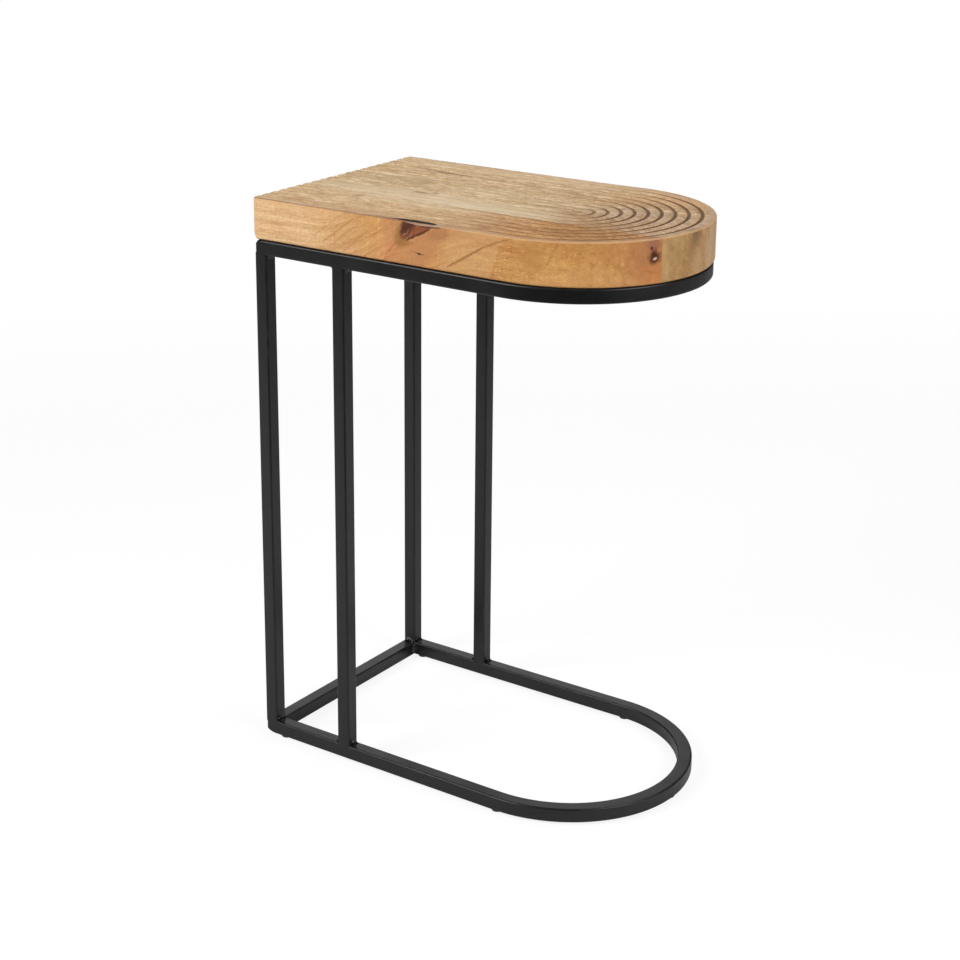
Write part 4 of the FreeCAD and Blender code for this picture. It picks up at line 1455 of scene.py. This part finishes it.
def beadTree():
    tree, given = newTree("weldBead", {
        "Leg": "Float", "Length": "Float", "Ripple": "Float", "Depth": "Float",
        "Unevenness": "Float", "Steps": "Int", "Seed": "Float"})
    profile = addNode(tree, "GeometryNodeMeshToCurve", {0: given["Geometry"]})
    half = given["Length"] / 2
    line = addNode(tree, "GeometryNodeCurvePrimitiveLine",
                   {"Start": combine(tree, 0.0, 0.0, -half), "End": combine(tree, 0.0, 0.0, half)})
    line = addNode(tree, "GeometryNodeResampleCurve", {"Curve": line, "Count": given["Steps"]})
    _, _, height = split(tree, addNode(tree, "GeometryNodeInputPosition"))
    along = height / given["Ripple"]
    lump = addNode(tree, "ShaderNodeTexNoise", {"W": along + given["Seed"], "Scale": bead["lumpScale"]},
                   noise_dimensions="1D")
    scallop = (along * math.pi + given["Seed"]).calc("SINE").absolute()
    fromEnd = half - height.absolute()
    rounding = (fromEnd / (given["Leg"] * bead["endRun"])).calc("ADD", bead["endSize"], clamp=True).root()
    swell = 1 - given["Depth"] + given["Depth"] * scallop - given["Unevenness"] * lump
    size = given["Leg"] * swell * rounding
    line = addNode(tree, "GeometryNodeSetCurveNormal", {0: line}, mode="Z_UP")
    skin = addNode(tree, "GeometryNodeCurveToMesh",
                   {"Curve": line, "Profile Curve": profile, "Scale": size, "Fill Caps": True})
    closeTree(tree, skin, beadCoat)
    return tree


weldBead = beadTree()


def beadProfile():  # a corner with two legs of one unit and a slightly hollow face
    face = []
    for i in range(bead["faceSteps"] + 1):
        t = i / bead["faceSteps"]
        along, middle, away = (1 - t) ** 2, 2 * t * (1 - t), t ** 2
        face.append((along + middle * bead["hollow"], away + middle * bead["hollow"]))
    return lineMesh("beadProfile", [(0, 0), *face], closed=True)


def oneBead(leg, length, number, corner, legs):  # its two legs point along the faces that it joins
    mesh = runTree(beadProfile(), weldBead, {
        "Leg": leg, "Length": length, "Ripple": bead["ripple"], "Depth": bead["rippleDepth"],
        "Unevenness": bead["unevenness"], "Steps": bead["steps"],
        "Seed": bead["seed"] + bead["seedStep"] * number})
    first, second = Vector(legs[0]), Vector(legs[1])
    turn = Matrix((first, second, first.cross(second))).transposed().to_4x4()
    mesh.transform(Matrix.Translation(corner) @ turn)
    return mesh


def joinMeshes(name, meshes):
    def gather(bm):
        for mesh in meshes:
            bm.from_mesh(mesh)

    whole = reshape(bpy.data.meshes.new(name), gather)
    for material in meshes[0].materials:
        whole.materials.append(material)
    return whole


def finishBeads(node, made):
    finishPiece(f"{node}_rippled", joinMeshes(node, made), node, bead["sharpAngle"])


def makeRingBeads(level, joint, away, ringMiddle):  # away points from the ring into the uprights
    length = tubeSize - 2 * tube["corner"]
    firstNumber = bead["baseNumbers"] if level == "base" else 0
    innerFace = railHigh.y - tubeSize
    innerLow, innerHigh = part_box("upright_front_inner")
    made = []
    for side in (-1, 1):
        line = side * railLine
        inward = (0, -side, 0)
        upward = (0, 0, away)
        spots = [
            ((straightEnd + tubeSize, line, joint), (upward, (1, 0, 0))),
            ((straightEnd + tubeSize / 2, side * innerFace, joint), (inward, upward)),
            ((innerLow.x, line, joint), ((-1, 0, 0), upward)),
            ((innerHigh.x, line, joint), (upward, (1, 0, 0))),
            ((straightEnd + tubeSize, side * innerFace, ringMiddle), ((1, 0, 0), inward)),
        ]
        for corner, legs in spots:
            made.append(oneBead(bead["leg"], length, firstNumber + len(made), corner, legs))
    finishBeads(f"{level}_weld_beads", made)


makeRingBeads("base", railHigh.z, 1, (railLow.z + railHigh.z) / 2)
makeRingBeads("top", topRailLow.z, -1, (topRailLow.z + topRailHigh.z) / 2)


def makeTabBeads():
    made = []
    for end in ("end", "bend"):
        for side, word in ((-1, "front"), (1, "back")):
            low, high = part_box(f"tab_{word}_{end}")
            corner = ((low.x + high.x) / 2, side * (railHigh.y - tubeSize), low.z)
            legs = ((0, -side, 0), (0, 0, -1))
            number = bead["tabNumbers"] + len(made)
            made.append(oneBead(bead["tabLeg"], high.x - low.x, number, corner, legs))
    finishBeads("tab_weld_beads", made)


makeTabBeads()
print("stage: weld beads made")


# tabs, screws, washers and glides; tables of shares give a place as a share of the reach and of the height

for node in ("tab_front_end", "tab_front_bend", "tab_back_end", "tab_back_bend"):
    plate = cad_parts[node]
    for slot in plate.material_slots:
        slot.material = blackCoat

fastener = {
    "headRadius": 4.0 * millimetre,
    "headHeight": 2.6 * millimetre,
    "headShares": [(0.0, 1.0), (0.35, 0.985), (0.62, 0.92), (0.82, 0.78),
                   (0.94, 0.55), (1.0, 0.28), (0.985, 0.0)],
    "shankRadius": 2.0 * millimetre,
    "rootRadius": 1.45 * millimetre,
    "length": 28.0 * millimetre,
    "point": 4.0 * millimetre,
    "thread": 1.8 * millimetre,
    "threadStart": 0.6,                # the rest in shares of the thread: its start, its rise and its pitch
    "threadRise": 0.45,
    "threadPitch": 0.62,
    "recessReach": 2.1 * millimetre,
    "recessWidth": 0.75 * millimetre,
    "recessDepth": 1.5 * millimetre,
    "recessLead": 0.3 * millimetre,    # how far the cutter starts outside the head
    "recessFloor": (0.45, 0.67),       # share of the reach and of the width that is left at its floor
    "steps": 32,
    "turnSeed": 4,
}


def screwShape():  # head down, with its bearing face at zero
    root, thread = fastener["rootRadius"], fastener["thread"]
    outline = [(fastener["headRadius"] * across, -fastener["headHeight"] * down)
               for across, down in fastener["headShares"]]
    outline.append((root, 0.0))
    height = thread * fastener["threadStart"]
    while height < fastener["length"] - fastener["point"]:
        outline += [(root, height), (fastener["shankRadius"], height + thread * fastener["threadRise"])]
        height += thread * fastener["threadPitch"]
    outline += [(root, height), (0.0, fastener["length"])]
    screw = addObject("screwShape", lathe(outline, fastener["steps"], zincPlate))
    cross = addObject("crossShape", crossCutter())
    cut = screw.modifiers.new("crossRecess", "BOOLEAN")
    cut.operation = "DIFFERENCE"
    cut.object = cross
    cut.solver = "EXACT"
    made = bpy.data.meshes.new_from_object(screw.evaluated_get(bpy.context.evaluated_depsgraph_get()))
    for thing in (screw, cross):
        bpy.data.objects.remove(thing)

    def weld(bm):  # the cut leaves slivers
        bmesh.ops.remove_doubles(bm, verts=bm.verts, dist=weldTolerance)

    return reshape(made, weld)


def crossCutter():  # one closed cross, narrower towards its floor
    mouth = -fastener["headHeight"] - fastener["recessLead"]
    floor = mouth + fastener["recessDepth"]

    def buildCross(bm):
        outlines = []
        for height, (reachShare, widthShare) in ((mouth, (1, 1)), (floor, fastener["recessFloor"])):
            reach, half = fastener["recessReach"] * reachShare, fastener["recessWidth"] / 2 * widthShare
            outline = []
            for quarter in range(4):
                turn = Matrix.Rotation(math.radians(90 * quarter), 3, "Z")
                for x, y in ((reach, -half), (reach, half), (half, half)):
                    outline.append(bm.verts.new(turn @ Vector((x, y, height))))
            outlines.append(outline)
        outer, inner = outlines
        bm.faces.new(outer[::-1])
        bm.faces.new(inner)
        for i, corner in enumerate(outer):
            bm.faces.new((outer[i - 1], corner, inner[i], inner[i - 1]))

    return reshape(bpy.data.meshes.new("crossCutter"), buildCross)


def setOutTree():  # one shape at each point, each turned by chance about its own axis
    tree, given = newTree("setOut", {"Shape": "Object", "Turn Seed": "Int", "Material": "Material"})
    shape = addNode(tree, "GeometryNodeObjectInfo", {"Object": given["Shape"]}, output="Geometry")
    turn = addNode(tree, "FunctionNodeRandomValue", {2: 0.0, 3: 2 * math.pi, "Seed": given["Turn Seed"]},
                   output=1, data_type="FLOAT")
    turned = addNode(tree, "FunctionNodeEulerToRotation", {0: combine(tree, 0.0, 0.0, turn)})
    copies = addNode(tree, "GeometryNodeInstanceOnPoints",
                     {"Points": given["Geometry"], "Instance": shape, "Rotation": turned})
    closeTree(tree, copies, given["Material"])
    return tree


setOut = setOutTree()


def placeShapes(node, mesh, points, material, suffix):
    shape = addObject(f"{node}_shape", mesh)
    cloud = bpy.data.meshes.new(f"{node}_points")
    cloud.from_pydata(points, [], [])
    settings = {"Shape": shape, "Turn Seed": fastener["turnSeed"], "Material": material}
    whole = runTree(cloud, setOut, settings)
    bpy.data.objects.remove(shape)
    finishPiece(f"{node}_{suffix}", whole, node)


washer = {
    "radius": 6.0 * millimetre,
    "hole": 2.2 * millimetre,
    "edge": 0.25 * millimetre,
    "steps": 48,
}


def washerShape():
    reach, edge, hole = washer["radius"], washer["edge"], washer["hole"]
    thick = washerHigh.z - washerLow.z
    outline = [(hole + edge, 0), (reach - edge, 0), (reach, edge), (reach, thick - edge),
               (reach - edge, thick), (hole + edge, thick), (hole, thick - edge), (hole, edge)]
    return lathe(outline + outline[:1], washer["steps"], zincPlate)


washerLow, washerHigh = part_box("screw_washers")
columns = (washerLow.x + washer["radius"], washerHigh.x - washer["radius"])
rows = (washerLow.y + washer["radius"], washerHigh.y - washer["radius"])
screwPlaces = [(x, y, washerLow.z) for x in columns for y in rows]
placeShapes("screw_washers", washerShape(), screwPlaces, zincPlate, "eased")
placeShapes("top_screws", screwShape(), screwPlaces, zincPlate, "pan_head")

glide = {
    "radius": 6.0 * millimetre,
    "height": 3.0 * millimetre,
    "dome": 0.5 * millimetre,
    "domeShares": [(0.0, 0.0), (0.55, 0.0), (0.72, 0.15), (0.86, 0.7)],
    "rim": 0.9 * millimetre,           # radius of the lower edge, and the height of its middle
    "rimHeight": 1.35 * millimetre,
    "rimStart": -50,                   # degrees
    "rimSteps": 4,
    "edge": 0.35 * millimetre,
    "stemRadius": 2.95 * millimetre,
    "stemLength": 8.0 * millimetre,
    "stemTip": 0.8,                    # shares of the stem's radius
    "stemRoot": 0.86,
    "barb": 1.6 * millimetre,
    "barbRise": 0.2,
    "steps": 40,
}


def glideShape():
    reach, tall, edge = glide["radius"], glide["height"], glide["edge"]
    stem, barb, top = glide["stemRadius"], glide["barb"], glide["height"] + glide["stemLength"]
    outline = [(reach * across, glide["dome"] * up) for across, up in glide["domeShares"]]
    rimMiddle = (reach - glide["rim"], glide["rimHeight"])
    outline += arcPoints(rimMiddle, glide["rim"], glide["rimStart"], 0, glide["rimSteps"])
    outline += [(reach, tall - edge), (reach - edge, tall), (stem, tall)]
    height = tall + barb
    while height < top - barb:
        outline += [(stem * glide["stemRoot"], height), (stem, height + barb * glide["barbRise"])]
        height += barb
    outline += [(stem * glide["stemTip"], top), (0.0, top)]
    return lathe(outline, glide["steps"], glidePlastic)


for node in sorted(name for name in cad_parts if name.startswith("glide_")):
    low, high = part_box(node)
    mesh = glideShape()
    mesh.transform(Matrix.Translation(((low.x + high.x) / 2, (low.y + high.y) / 2, low.z)))
    finishPiece(f"{node}_moulded", mesh, node)
print("stage: fasteners and glides made")

scene = bpy.context.scene
scene.view_settings.view_transform = "Standard"
